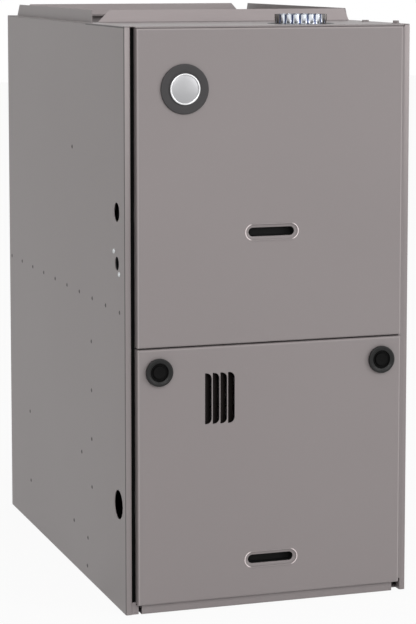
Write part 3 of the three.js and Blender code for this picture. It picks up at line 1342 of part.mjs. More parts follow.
const trayFace = at(trayDepth) - seat;
piece('control_tray', controlTray(), 'galvanised');
piece('control_board', controlBoard(), 'circuitBoard', furnace,
  [trayLeft + boardInset, trayFace, trayBottom + boardRise]);
piece('transformer', transformer(), 'blackSteel', furnace,
  [trayLeft + transformerInset, trayFace, trayBottom + transformerRise]);
const switchLine = [doorSwitchX, at(railDepth), doorSwitchHeight];
piece('door_switch', doorSwitch(), 'blackPlastic', furnace, switchLine);
piece('door_switch_plunger', doorSwitchPlunger(), 'greyPlastic', furnace,
  [switchLine[0], switchLine[1] + plungerTravel, switchLine[2]]);
piece('junction_box', junctionBox(), 'galvanised', furnace,
  [-fitHalf, at(wiringHole.depth), wiringHole.height]);

// ---------------------------------------------------------------- doors

// A block with rounded front edges: its front face lies at y = 0 and its length runs to +Y.
function softBlock(w, z0, z1, length, radius) {
  const shape = shapeOf(roundedRectangle(-w + radius, w - radius, z0 + radius, z1 - radius, 1, 1));
  const bevel = { depth: length, bevelThickness: radius, bevelSize: radius, bevelSegments: 2 };
  return new THREE.ExtrudeGeometry(shape, bevel).rotateX(Math.PI / 2).translate(0, length + radius, 0);
}

// A folded pan with a hem turned in round its back, its outer face at y = 0 and its foot at z = 0.
function doorPan(height) {
  const outer = softBlock(doorHalf, 0, height, doorDepth, doorBend);
  const inner = softBlock(doorHalf - doorSheet, doorSheet, height - doorSheet, doorDepth,
    doorBend - doorSheet).translate(0, doorSheet, 0);
  const beyond = block(-doorHalf - 1, doorHalf + 1, doorDepth, doorDepth + 20, -1, height + 1);
  const edge = 0.5;
  const hem = alongY(shapeOf(rectangle(-doorHalf + edge, doorHalf - edge, edge, height - edge),
    rectangle(-doorHalf + doorHem, doorHalf - doorHem, doorHem, height - doorHem)),
    doorDepth - doorSheet, doorDepth);
  return join(cut(outer, inner, beyond), hem);
}

// A stadium-shaped dish: full size at y = 0, down to the pocket's opening at its bottom.
function handleDish(back) {
  const bevel = { depth: 6, bevelThickness: handleRimDepth, bevelSize: handleRim, bevelSegments: 1 };
  return new THREE.ExtrudeGeometry(shapeOf(stadium(handleLength, handleOpening)), bevel)
    .rotateX(Math.PI / 2).translate(0, back, 0);
}

function pressHandle(door, z) {
  const dish = handleDish(0).translate(0, 0, z);
  const rim = cut(handleDish(doorSheet).translate(0, 0, z), dish,
    alongY(shapeOf(stadium(handleLength, handleOpening)), -10, 20).translate(0, 0, z));
  return join(cut(door, dish), rim);
}

// Moulded pocket behind the pressed rim, taller inside than its mouth so that fingers hook it.
function handleCup() {
  const start = handleRimDepth + doorSheet + seat;
  const grow = (more) => stadium(handleLength + more, handleOpening + more);
  const pocketShape = (wall) => shapeOf(roundedRectangle(
    -handleLength / 2 - wall, handleLength / 2 + wall,
    -handleOpening / 2 - wall, handleOpening / 2 + handleFingerRoom + wall, handleOpening / 2 + wall / 2));
  const flange = alongY(shapeOf(grow(2 * handleFlange)), start, start + handleWall);
  const mouth = alongY(shapeOf(grow(0)), start - 1, start + handleWall + 1);
  const pocket = alongY(pocketShape(handleWall), start + 0.5, handlePocket);
  const room = alongY(pocketShape(0), start + handleWall, handlePocket - handleWall);
  return cut(join(flange, pocket), mouth, room);
}

function upperDoor() {
  const height = upperDoorTop - doorSeam - seamGap / 2;
  return pressHandle(doorPan(height), upperHandleHeight - upperDoorBottom);
}

const slotX = Array.from({ length: slotCount }, (_, i) => firstSlotX + i * slotPitch);

// Slot with square corners on its left and round ones on its right.
function slotShape(x) {
  const [x0, x1] = [x - slotWidth / 2, x + slotWidth / 2];
  const [z0, z1] = [slotMiddleHeight - slotHeight / 2, slotMiddleHeight + slotHeight / 2];
  return [
    [x0, z1], [x0, z0], ...arc(x1 - slotCorner, z0 + slotCorner, slotCorner, -90, 0, 3),
    ...arc(x1 - slotCorner, z1 - slotCorner, slotCorner, 0, 90, 3),
  ];
}

function lowerDoor() {
  const height = doorSeam - seamGap / 2 - lowerDoorBottom;
  const tabEnd = doorProud + railDepth - plungerReach + plungerTravel - seat;
  const tab = block(doorSwitchX - 9, doorSwitchX + 9, doorSheet / 2, tabEnd, -3, 3)
    .translate(0, 0, doorSwitchHeight - lowerDoorBottom);
  const door = join(pressHandle(doorPan(height), lowerHandleHeight - lowerDoorBottom), tab);
  const slots = slotX.map((x) => alongY(shapeOf(slotShape(x)), -1, 4).translate(0, 0, -lowerDoorBottom));
  const knobHoles = [-knobX, knobX].map((x) =>
    alongY(shapeOf(circle(knobShaftRadius + slip, 16, x, knobHeight - lowerDoorBottom)), -1, 4));
  return cut(door, ...slots, ...knobHoles);
}

// Vane pack behind the slots: a frame with one slanted vane behind each slot.
function louvreInsert() {
  const reachX = slotWidth / 2 + louvreMargin;
  const reachZ = slotHeight / 2 + louvreMargin;
  const [x0, x1] = [slotX[0] - reachX, slotX[slotCount - 1] + reachX];
  const [z0, z1] = [slotMiddleHeight - reachZ, slotMiddleHeight + reachZ];
  const edge = louvreFrame;
  const vaneFront = doorSheet + seat + 5;
  const vaneBack = vaneFront + vaneDepth;
  const frame = alongY(shapeOf(rectangle(x0, x1, z0, z1),
    rectangle(x0 + edge, x1 - edge, z0 + edge, z1 - edge)), doorSheet + seat, vaneBack);
  const thick = vaneSheet * Math.SQRT2;
  const vanes = slotX.map((x) => {
    const [fx, bx] = [x - slotPitch / 2, x + slotPitch / 2];
    return alongZ(shapeOf([[fx, vaneFront], [fx + thick, vaneFront], [bx + thick, vaneBack], [bx, vaneBack]]),
      z0 + edge - 1, z1 - edge + 1);
  });
  const ribs = [-1, 1].map((hand) => slotMiddleHeight + hand * slotHeight / 5).map((z) =>
    block(x0 + edge - 1, x1 - edge + 1, vaneBack - 2, vaneBack, z - 1, z + 1));
  return join(frame, ...vanes, ...ribs);
}

// Quarter-turn knob about its own axis, with the door's outer face at y = 0.
function knob() {
  const camFront = doorProud + railDepth + railSheet + runClear;
  const camBack = camFront + camThickness;
  const dish = knobProud - 2;
  const floor = knobProud - knobRecessDepth;
  const body = turnedForward([
    [0, -camBack], [knobShaftRadius, -camBack], [knobShaftRadius, seat], [knobRadius - 1.5, seat],
    [knobRadius, seat + 1.2], [knobRadius, knobProud - 0.8], [knobRadius - 0.8, knobProud],
    [knobRadius - 4, knobProud], [knobRecessRadius, dish], [knobRecessRadius - 0.8, floor],
    [knobBossRadius, floor], [knobBossRadius, floor + 2.4], [0, floor + 2.4],
  ], 20);
  const cam = alongY(shapeOf([
    [0, -knobShaftRadius], [camLength - 5, -camWidth / 2], [camLength, -camWidth / 2 + 5],
    [camLength, camWidth / 2 - 2], [camLength - 2, camWidth / 2], [0, knobShaftRadius],
  ]), camFront, camBack);
  return join(body, cam);
}

const doorFace = front - doorProud;
const medallionSeat = badgeThickness - 0.8;
const upper = assembly([0, doorFace, 0]);
piece('upper_door', upperDoor(), 'paint', upper, [0, 0, upperDoorBottom]);
piece('upper_handle', handleCup(), 'blackPlastic', upper, [0, 0, upperHandleHeight]);
piece('badge_disc', turnedForward([
  [0, seat], [badgeRadius, seat], [badgeRadius, badgeThickness - 1.2], [badgeRadius - 1.2, badgeThickness],
  [medallionRadius + 1.5, badgeThickness], [medallionRadius + 1, medallionSeat], [0, medallionSeat],
], 32), 'badgeGrey', upper, [badgeX, 0, badgeHeight]);
piece('badge_medallion', turnedForward([
  [0, 0], [medallionRadius, 0], [medallionRadius, medallionThickness - 1],
  [medallionRadius - 1, medallionThickness], [medallionRadius - 2.6, medallionThickness],
  [medallionRadius - 3.4, medallionThickness - 1.1], [0, medallionThickness],
], 32), 'silver', upper, [badgeX, -medallionSeat - seat, badgeHeight]);

const lower = assembly([0, doorFace, 0]);
piece('lower_door', lowerDoor(), 'paint', lower, [0, 0, lowerDoorBottom]);
piece('lower_handle', handleCup(), 'blackPlastic', lower, [0, 0, lowerHandleHeight]);
piece('louvre_insert', louvreInsert(), 'blackPlastic', lower);
piece('left_knob', knob(), 'blackPlastic', lower, [-knobX, 0, knobHeight]);
piece('right_knob', knob(), 'blackPlastic', lower, [knobX, 0, knobHeight]).rotation.y = Math.PI;

export default furnace;
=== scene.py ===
"""An upflow gas furnace in a grey steel cabinet: its finished surfaces, floor, light and camera."""

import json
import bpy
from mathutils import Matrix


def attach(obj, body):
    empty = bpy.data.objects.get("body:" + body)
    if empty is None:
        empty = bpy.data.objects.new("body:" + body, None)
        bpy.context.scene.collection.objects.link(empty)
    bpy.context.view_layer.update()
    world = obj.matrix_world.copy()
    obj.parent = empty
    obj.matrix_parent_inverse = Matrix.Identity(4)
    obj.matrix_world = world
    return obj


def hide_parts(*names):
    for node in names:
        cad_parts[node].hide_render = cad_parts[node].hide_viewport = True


bl_info = {
    "name": "Gas Furnace",
    "version": (1, 0, 0),
    "blender": (4, 5, 0),
    "location": "View3D > Sidebar > Furnace",
    "description": "Builds the finished surfaces of an upflow gas furnace",
    "category": "Object",
}

from math import cos, pi, radians, sin

import bmesh
import bpy
from bpy.props import FloatProperty, FloatVectorProperty, IntProperty, PointerProperty
from mathutils import Matrix, Vector

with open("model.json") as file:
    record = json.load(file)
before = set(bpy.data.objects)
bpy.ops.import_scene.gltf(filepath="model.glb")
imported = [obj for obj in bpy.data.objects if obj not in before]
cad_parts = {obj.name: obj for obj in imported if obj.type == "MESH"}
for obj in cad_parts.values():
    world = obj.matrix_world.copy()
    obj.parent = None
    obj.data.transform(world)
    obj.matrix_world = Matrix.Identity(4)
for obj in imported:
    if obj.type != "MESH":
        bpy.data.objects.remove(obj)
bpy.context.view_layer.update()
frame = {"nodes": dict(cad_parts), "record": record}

MM = 0.001
BODY_OF = {node: body for body, nodes in frame["record"]["behaviour"]["bodies"].items() for node in nodes}
SLOT_OF = {row["node"]: row["material_slot"] for row in frame["record"]["subparts"]}


# ---------------------------------------------------------------- places on the furnace, in mm


FRONT = -359.5                      # the casing's front flanges


def at(depth):
    """The y of a depth behind the front flanges."""
    return FRONT + depth


HALF_WIDTH = 222.25                 # from the middle plane to the casing's sides
PLATE_TOP = 863.6                   # the top plate's upper face
DOOR_FACE = at(-10.5)               # the doors' front faces
DOOR_HALF = 206.8                   # from the middle plane to the doors' sides
DOOR_ENDS = {"upper": (397.5, 861), "lower": (15.5, 395.5)}
HANDLE_Z = {"upper": 561.3, "lower": 70.7}
HANDLE_RIM = (84, 24.8)             # the stadium in a door's face where the handle's rim begins
HANDLE_MOUTH = (71, 12.8)           # the smaller stadium where the rim ends
KNOB_X, KNOB_Z = 174.5, 361.7       # the knobs' axes, to the left and right
COLLAR_X, COLLAR_Y = 75, at(72)     # the vent collar's axis
BADGE = (-135, DOOR_FACE, 773.1)


# ---------------------------------------------------------------- sizes and colours


def length(name, text, millimetres):
    return FloatProperty(name=name, description=text, default=millimetres * MM, unit="LENGTH", precision=4)


def colour(name, text, red, green, blue):
    return FloatVectorProperty(name=name, description=text, default=(red, green, blue), subtype="COLOR",
                               min=0, max=1)


class FurnaceSizes(bpy.types.PropertyGroup):
    sheet_edge: length("Sheet edge", "Rounding of the cut edges of sheet metal", 0.25)
    moulded_edge: length("Moulded edge", "Rounding of the edges of moulded pieces", 0.5)
    flute_depth: length("Flute depth", "How far the vent collar's crimps swing in and out", 1.5)
    flute_count: IntProperty(name="Flutes", description="Crimps round the vent collar", default=20, min=8)
    screw_head: length("Screw head", "Across the corners of a hexagon screw head", 9.5)
    clinch_radius: length("Clinch radius", "Radius of a pressed joint in the casing's sides", 2.4)
    tube_radius: length("Tube radius", "Outside radius of the heat exchanger tubes", 22.2)


class FurnaceColours(bpy.types.PropertyGroup):
    paint: colour("Paint", "Baked paint of the casing and doors", 0.272, 0.245, 0.248)
    zinc: colour("Zinc", "Galvanised sheet", 0.60, 0.62, 0.63)
    bright: colour("Bright zinc", "Formed vent collar", 0.82, 0.86, 0.93)
    aluminised: colour("Aluminised", "Aluminised steel", 0.50, 0.50, 0.49)
    black: colour("Black", "Moulded black pieces", 0.011, 0.011, 0.011)
    badge: colour("Badge", "Ring round the medallion", 0.040, 0.038, 0.040)
    red: colour("Red", "Reset buttons of the rollout switches", 0.52, 0.022, 0.020)


class Signal:
    """A value travelling through a node tree; Python's operators add the Math nodes."""

    def __init__(self, nodes, socket):
        self.nodes = nodes
        self.socket = socket

    def maths(self, operation, *values):
        return self.nodes.node("ShaderNodeMath", {"operation": operation}, values)

    def __add__(self, other):
        return self.maths("ADD", self, other)

    def __mul__(self, other):
        return self.maths("MULTIPLY", self, other)

    def __sub__(self, other):
        return self.maths("SUBTRACT", self, other)

    def __rsub__(self, other):
        return self.maths("SUBTRACT", other, self)

    def __abs__(self):
        return self.maths("ABSOLUTE", self)

    __radd__ = __add__
    __rmul__ = __mul__


class Nodes:
    """A node tree, and the one way in which nodes are added to it."""

    def __init__(self, tree):
        self.tree = tree

    def feed(self, socket, value):
        if isinstance(value, Signal):
            self.tree.links.new(value.socket, socket)
        else:
            socket.default_value = value

    def node(self, kind, settings, values, output=0):
        made = self.tree.nodes.new(kind)
        for key, value in settings.items():
            setattr(made, key, value)
        pairs = values.items() if isinstance(values, dict) else enumerate(values)
        for key, value in pairs:
            self.feed(made.inputs[key], value)
        return Signal(self, made.outputs[output])


class Finish(Nodes):
    """A material put together from nodes."""

    def __init__(self, name):
        self.material = bpy.data.materials.new(name)
        self.material.use_nodes = True
        super().__init__(self.material.node_tree)
        self.shader = self.tree.nodes["Principled BSDF"]
        self.place = self.node("ShaderNodeTexCoord", {}, (), "Object")

    def stretched(self, x, y, z):
        return self.node("ShaderNodeMapping", {}, {"Vector": self.place, "Scale": (x, y, z)})

    def noise(self, scale, detail=2.0, place=None):
        return self.node("ShaderNodeTexNoise", {},
                         {"Vector": place or self.place, "Scale": scale, "Detail": detail}, "Fac")

    def flakes(self, scale):
        """One even random shade for each crystal."""
        cells = self.node("ShaderNodeTexVoronoi", {}, {"Vector": self.place, "Scale": scale}, "Color")
        return self.node("ShaderNodeSeparateColor", {}, {"Color": cells}, "Red")

    def band(self, value, low, high):
        return self.node("ShaderNodeMapRange", {"clamp": True},
                         {"Value": value, "From Min": low, "From Max": high}, "Result")

    def blend(self, share, first, second):
        """The first colour where share is 0, the second where it is 1."""
        def plain(tint):
            return tint if isinstance(tint, Signal) else (*tint[:3], 1)
        return self.node("ShaderNodeMix", {"data_type": "RGBA"},
                         {0: share, 6: plain(first), 7: plain(second)}, 2)

    def axis(self, name):
        return self.node("ShaderNodeSeparateXYZ", {}, {"Vector": self.place}, name)

    def across(self):
        """How far a point is from the middle plane."""
        return abs(self.axis("X"))

    def window(self, value, low, high):
        """1 between two places in mm, else 0, with soft edges."""
        soft = 0.15
        return (self.band(value, (low - soft) * MM, (low + soft) * MM)
                * self.band(value, (high + soft) * MM, (high - soft) * MM))

    def dents(self, height, strength, distance):
        return self.node("ShaderNodeBump", {}, {"Strength": strength, "Distance": distance, "Height": height},
                         "Normal")

    def surface(self, **sockets):
        for key, value in sockets.items():
            name = key.replace("_", " ").title().replace("Ior", "IOR")
            if name == "Base Color" and not isinstance(value, Signal):
                value = (*value[:3], 1)
            self.feed(self.shader.inputs[name], value)
        return self.material


def shade(tint, factor):
    return tuple(min(1.0, channel * factor) for channel in tint)


def baked_paint(name, tint, marks=None):
    """Semi-gloss baked paint: faint orange peel, slight cloudiness and fine dust."""
    f = Finish(name)
    cloud = f.noise(3.0, 3)
    peel = f.noise(650, 2)
    specks = f.band(f.noise(260, 4), 0.66, 0.74)
    base = f.blend(cloud, shade(tint, 0.965), shade(tint, 1.035))
    for factor, share in marks(f) if marks else ():
        base = f.blend(share, base, shade(tint, factor))
    return f.surface(base_color=f.blend(specks * 0.10, base, shade(tint, 1.5)),
                     roughness=0.40 + 0.06 * cloud + 0.05 * specks,
                     normal=f.dents(peel, 0.12, 0.0003), specular_ior_level=0.45)


def zinc_sheet(name, tint, spangle=70, rough=0.36):
    """Galvanised sheet: crystals of slightly different shade and gloss, with rolling lines."""
    f = Finish(name)
    crystal = f.flakes(spangle)
    haze = f.noise(9, 4)
    lines = f.noise(60, 2, f.stretched(1, 1, 24))
    base = f.blend(crystal * 0.6 + haze * 0.4, shade(tint, 0.80), shade(tint, 1.12))
    return f.surface(base_color=base, metallic=0.92, roughness=rough + 0.12 * crystal + 0.05 * haze,
                     normal=f.dents(lines + crystal * 0.3, 0.10, 0.0002))


def aluminised_steel(name, tint):
    """Dull aluminised steel with faint heat tint and fine drawing lines."""
    f = Finish(name)
    haze = f.noise(14, 5)
    grain = f.noise(500, 2)
    warm = shade((tint[0] * 1.02, tint[1] * 0.97, tint[2] * 0.90), 0.86)
    return f.surface(base_color=f.blend(haze, warm, shade(tint, 1.12)), metallic=0.85,
                     roughness=0.40 + 0.16 * haze, normal=f.dents(grain, 0.10, 0.0002))


def bright_metal(name, tint, rough=0.16, lines=(1, 1, 60)):
    """Smooth metal with fine drawn lines."""
    f = Finish(name)
    drawn = f.noise(40, 3, f.stretched(*lines))
    smear = f.noise(30, 3)
    return f.surface(base_color=f.blend(smear, shade(tint, 0.90), shade(tint, 1.05)), metallic=1.0,
                     roughness=rough + 0.10 * smear + 0.05 * drawn, normal=f.dents(drawn, 0.08, 0.0002))


def moulding(name, tint, rough=0.42, grain_size=900, gloss=0.5):
    """Moulded plastic with a fine texture and slight sheen changes."""
    f = Finish(name)
    grain = f.noise(grain_size, 3)
    wear = f.noise(35, 4)
    return f.surface(base_color=f.blend(wear, shade(tint, 0.86), shade(tint, 1.20)),
                     roughness=rough + 0.10 * grain + 0.05 * wear,
                     normal=f.dents(grain, 0.15, 0.0002), specular_ior_level=gloss)


def enamelled_steel(name, tint):
    """Black enamel over steel, a little uneven."""
    f = Finish(name)
    lumps = f.noise(160, 3)
    dust = f.noise(24, 5)
    return f.surface(base_color=f.blend(dust, shade(tint, 0.8), shade(tint, 1.5)), metallic=0.25,
                     roughness=0.34 + 0.18 * dust, normal=f.dents(lumps, 0.16, 0.0004))


def cast_metal(name, tint):
    """Sand-grained casting."""
    f = Finish(name)
    sand = f.noise(420, 5)
    stain = f.noise(20, 4)
    return f.surface(base_color=f.blend(stain, shade(tint, 0.80), shade(tint, 1.08)), metallic=0.85,
                     roughness=0.44 + 0.14 * sand, normal=f.dents(sand, 0.30, 0.0004))


def enamel_gloss(name, tint):
    """Deep glossy enamel under a clear coat."""
    f = Finish(name)
    depth = f.noise(120, 3)
    return f.surface(base_color=f.blend(depth, shade(tint, 0.88), shade(tint, 1.10)),
                     roughness=0.22 + 0.06 * depth, normal=f.dents(depth, 0.05, 0.0002),
                     coat_weight=0.6)


def printed_board(name, tint):
    """Green lacquered board with paler copper tracks under the lacquer."""
    f = Finish(name)
    tracks = f.band(f.node("ShaderNodeTexBrick", {}, {"Vector": f.node(
        "ShaderNodeMapping", {}, {"Vector": f.place, "Rotation": (pi / 2, 0, 0), "Scale": (90, 90, 90)}),
        "Color1": (1, 1, 1, 1), "Color2": (0.8, 0.8, 0.8, 1), "Mortar": (0, 0, 0, 1),
        "Mortar Size": 0.03}, "Fac"), 0.3, 0.7)
    cloud = f.noise(60, 3)
    base = f.blend(tracks, shade(tint, 0.85), shade(tint, 1.9))
    return f.surface(base_color=f.blend(cloud * 0.3, base, shade(tint, 0.7)),
                     roughness=0.30 + 0.15 * cloud, normal=f.dents(tracks, 0.12, 0.0002))


def cabinet_marks(f):
    """Front flanges lightened towards the top as a painted highlight, brighter duct flanges, and painted
    shade as dark lines along the wrapper's fold and under the top plate's edge.
    """
    x, y, z = f.across(), f.axis("Y"), f.axis("Z")
    outside = HALF_WIDTH + 0.75
    # Painted shade: a dark line along the fold at each front corner of the sides.
    folded = f.window(y, at(0.9), at(3.1)) * f.window(x, HALF_WIDTH - 0.65, outside)
    # Painted shade: a dark line on the sides just under the top plate's edge.
    seam = (f.window(z, PLATE_TOP - 2.7, PLATE_TOP - 1.2) * f.window(x, HALF_WIDTH - 0.85, outside)
            * f.window(y, at(2), at(208)))
    flange = f.window(y, at(-0.6), at(0.5)) * f.window(z, 19, PLATE_TOP - 1.6) * f.window(x, 212, outside)
    # Painted highlight: the front flanges lighten towards the top.
    flange_highlight = flange * f.band(z, 560 * MM, 830 * MM)
    duct = f.window(z, PLATE_TOP + 1, PLATE_TOP + 20.4) * f.window(x, -1, 208.6)
    return ((1.66, duct), (1.02, flange), (1.50, flange_highlight), (0.24, folded), (0.18, seam))


def door_marks(f):
    """Painted highlights: lighter lines along the folds at the doors' sides and tops."""
    x, z = f.across(), f.axis("Z")
    upper, lower = DOOR_ENDS["upper"][1], DOOR_ENDS["lower"][1]
    # Painted highlights along the door folds.
    sides = f.window(x, DOOR_HALF - 2.5, DOOR_HALF - 0.9)
    return ((1.38, sides), (1.30, f.window(z, upper - 2.6, upper - 0.8)),
            (1.16, f.window(z, lower - 3.1, lower - 1.3)))


def bead_highlight_marks(f):
    """Painted highlight: the bead round a handle is bright at its two ends."""
    return ((2.9, f.band(f.across(), 31 * MM, 35 * MM)),)


def crimped_metal(name, tint, dark, count):
    """Bright sheet, with the crimps' valleys painted dark as shade and bluish as a reflection, and two
    opposite flanks painted darker as a reflection.
    """
    f = Finish(name)
    x, y = f.axis("X") - COLLAR_X * MM, f.axis("Y") - COLLAR_Y * MM
    turn = f.node("ShaderNodeMath", {"operation": "ARCTAN2"}, (y, x))
    wave = f.node("ShaderNodeMath", {"operation": "SINE"}, (turn * count,))
    # Painted shade in the crimps' valleys, tinted blue as a painted reflection.
    valley_shade = f.band(wave, -0.35, -0.85)
    smear = f.noise(240, 3)
    # The flanks, painted darker as a reflection, are the sides to the left and right of the stage camera's
    # direction.
    flank = f.band(abs(x * 0.95 - y * 0.31), 28 * MM, 32 * MM)
    # Painted dark reflection on the flanks.
    flank_reflection = (0.135, 0.125, 0.118)
    body = f.blend(flank, f.blend(smear, shade(tint, 0.86), shade(tint, 1.1)), flank_reflection)
    return f.surface(base_color=f.blend(valley_shade, body, dark), metallic=0.9, roughness=0.14 + 0.12 * smear)


FINISHES = {}


def mix_finishes():
    c = bpy.context.scene.furnace_colours
    FINISHES.update({
        "casing_paint": baked_paint("casing_paint", c.paint),
        "cabinet_paint": baked_paint("cabinet_paint", c.paint, cabinet_marks),
        "door_paint": baked_paint("door_paint", c.paint, door_marks),
        # Painted highlight: the handle bead's paint is lightened all over and brighter still at its ends.
        "bead_highlight_paint": baked_paint("bead_highlight_paint", shade(c.paint, 1.15), bead_highlight_marks),
        "louvre_black": moulding("louvre_black", (0.016, 0.013, 0.0125), gloss=0.16),
        "joint_shadow": moulding("joint_shadow", (0.03, 0.028, 0.027), 0.8, gloss=0.1),
        # Near-black, as painted shade in the left door gap.
        "gap_shade_black": moulding("gap_shade_black", (0.004, 0.004, 0.004), 0.9, 1500, gloss=0.05),
        "core_black": moulding("core_black", (0.003, 0.003, 0.003), 0.6, gloss=0.10),
        # Zinc darkened as painted shade, so the junction box looks dark through the wiring holes.
        "shaded_box_zinc": zinc_sheet("shaded_box_zinc", shade(c.zinc, 0.12), 70, 0.6),
        "galvanised": zinc_sheet("galvanised", c.zinc),
        # The valley colour is painted shade with a bluish painted reflection.
        "vent_metal": crimped_metal("vent_metal", c.bright, (0.040, 0.055, 0.12),
                                    bpy.context.scene.furnace_sizes.flute_count),
        "aluminised": aluminised_steel("aluminised", c.aluminised),
        "black_plastic": moulding("black_plastic", c.black, gloss=0.12),
        "badge_grey": moulding("badge_grey", c.badge, 0.50, 1300, gloss=0.4),
        "silver_trim": bright_metal("silver_trim", (0.80, 0.80, 0.81), 0.20),
        "cast_aluminium": cast_metal("cast_aluminium", (0.62, 0.63, 0.63)),
        "black_steel": enamelled_steel("black_steel", (0.030, 0.030, 0.032)),
        "brass": bright_metal("brass", (0.72, 0.50, 0.20), 0.26),
        "ceramic": moulding("ceramic", (0.74, 0.70, 0.62), 0.55, 500),
        "steel_shaft": bright_metal("steel_shaft", (0.58, 0.58, 0.59), 0.24, (60, 1, 1)),
        "switch_grey": moulding("switch_grey", (0.25, 0.27, 0.28)),
        "reset_red": enamel_gloss("glossy_red", c.red),
        "silicone": moulding("silicone", (0.030, 0.030, 0.032), 0.55, 400),
        "circuit_board": printed_board("circuit_board", (0.02, 0.14, 0.05)),
        "satin_dome": bright_metal("satin_dome", (0.42, 0.42, 0.43), 0.30),
        # Paint darkened as painted shade for the pressed joints' hollows.
        "dimple_shade": baked_paint("dimple_shade", shade(c.paint, 0.22)),
        "knob_black": moulding("knob_black", shade(c.black, 0.5), 0.28, gloss=0.34),
    })


# ---------------------------------------------------------------- making meshes


def sign(value):
    return 1 if value > 0 else -1


def moved(bm, matrix):
    bmesh.ops.transform(bm, matrix=matrix, verts=bm.verts)
    return bm


def facing(direction):
    return Vector(direction).to_track_quat("Z", "Y").to_matrix().to_4x4()


def placed(bm, x, y, z, direction=(0, 0, 1)):
    """Turns a mesh's +Z to the direction and puts its origin at a point in mm."""
    return moved(bm, Matrix.Translation(Vector((x, y, z)) * MM) @ facing(direction))


def together(*parts):
    whole = bmesh.new()
    for part in parts:
        scratch = bpy.data.meshes.new("scratch")
        part.to_mesh(scratch)
        part.free()
        whole.from_mesh(scratch)
        bpy.data.meshes.remove(scratch)
    return whole


def turned(profile, segments=48):
    """A revolve about Z of [radius, height] pairs in mm, closed at the axis or on itself."""
    bm = bmesh.new()
    corners = [bm.verts.new((radius * MM, 0, height * MM)) for radius, height in profile]
    edges = [bm.edges.new(pair) for pair in zip(corners, corners[1:])]
    bmesh.ops.spin(bm, geom=corners + edges, cent=(0, 0, 0), axis=(0, 0, 1), angle=2 * pi,
                   steps=segments, use_merge=True, use_duplicate=False)
    bmesh.ops.remove_doubles(bm, verts=bm.verts, dist=1e-6)
    bmesh.ops.recalc_face_normals(bm, faces=bm.faces)
    return bm


def flat(outline, holes=()):
    """A flat sheet in XY from loops of [x, y] points in mm."""
    bm = bmesh.new()
    edges = []
    for loop in (outline, *holes):
        corners = [bm.verts.new((x * MM, y * MM, 0)) for x, y in loop]
        edges += [bm.edges.new(pair) for pair in zip(corners, corners[1:] + corners[:1])]
    bmesh.ops.triangle_fill(bm, edges=edges, use_beauty=True, use_dissolve=False)
    bmesh.ops.recalc_face_normals(bm, faces=bm.faces)
    return bm


def slab(outline, depth, holes=()):
    bm = flat(outline, holes)
    raised = bmesh.ops.extrude_face_region(bm, geom=bm.faces[:])["geom"]
    corners = [v for v in raised if isinstance(v, bmesh.types.BMVert)]
    bmesh.ops.translate(bm, vec=(0, 0, depth * MM), verts=corners)
    bmesh.ops.recalc_face_normals(bm, faces=bm.faces)
    return bm


def brick(x0, x1, y0, y1, z0, z1, soft=0.0):
    """A block between two corners in mm, with its edges rounded."""
    bm = bmesh.new()
    size = Matrix.Diagonal(((x1 - x0) * MM, (y1 - y0) * MM, (z1 - z0) * MM, 1))
    middle = Vector((x0 + x1, y0 + y1, z0 + z1)) * MM / 2
    bmesh.ops.create_cube(bm, size=1, matrix=Matrix.Translation(middle) @ size)
    if soft:
        rounded(bm, bm.edges[:], soft)
    return bm


def rounded(bm, edges, radius, segments=2):
    bmesh.ops.bevel(bm, geom=edges, offset=radius * MM, offset_type="OFFSET", segments=segments, profile=0.5,
                    affect="EDGES", clamp_overlap=True, material=-1)


def extruded(bm, rim):
    """Adds faces along a rim of edges, and gives the new corners, still in place, and the new rim."""
    made = bmesh.ops.extrude_edge_only(bm, edges=rim)["geom"]
    corners = [v for v in made if isinstance(v, bmesh.types.BMVert)]
    new = set(corners)
    return corners, [e for e in made if isinstance(e, bmesh.types.BMEdge) and new.issuperset(e.verts)]


def swept(start, heading, radius, moves, sides=24):
    """A tube's skin from a circle that runs straight or bends, one move after another, in mm."""
    bm = bmesh.new()
    place = Matrix.Translation(Vector(start) * MM) @ facing(heading)
    bmesh.ops.create_circle(bm, cap_ends=False, segments=sides, radius=radius * MM, matrix=place)
    rim = bm.edges[:]
    for kind, *how in moves:
        if kind == "run":
            corners, rim = extruded(bm, rim)
            bmesh.ops.translate(bm, vec=Vector(how[0]) * MM, verts=corners)
        else:
            centre, axis, angle, steps = how
            corners = list({v for e in rim for v in e.verts})
            made = bmesh.ops.spin(bm, geom=corners + rim, cent=Vector(centre) * MM, axis=axis,
                                  angle=radians(angle), steps=steps, use_duplicate=False)["geom_last"]
            rim = [e for e in made if isinstance(e, bmesh.types.BMEdge)]
    bmesh.ops.remove_doubles(bm, verts=bm.verts, dist=1e-6)
    bmesh.ops.recalc_face_normals(bm, faces=bm.faces)
    return bm


def arc(x, y, radius, start, end, steps=8):
    turns = [radians(start + (end - start) * i / steps) for i in range(steps + 1)]
    return [(x + radius * cos(t), y + radius * sin(t)) for t in turns]


def circle(radius, x=0, y=0, steps=32):
    return arc(x, y, radius, 0, 360, steps)[:-1]


def stadium(across, tall, steps=12):
    reach = (across - tall) / 2
    return arc(reach, 0, tall / 2, -90, 90, steps) + arc(-reach, 0, tall / 2, 90, 270, steps)


def soft_rectangle(x0, x1, y0, y1, radius, steps=5):
    left, right, low, high = x0 + radius, x1 - radius, y0 + radius, y1 - radius
    centres = ((right, high), (left, high), (left, low), (right, low))
    return [point for turn, (x, y) in enumerate(centres)
            for point in arc(x, y, radius, 90 * turn, 90 * turn + 90, steps)]


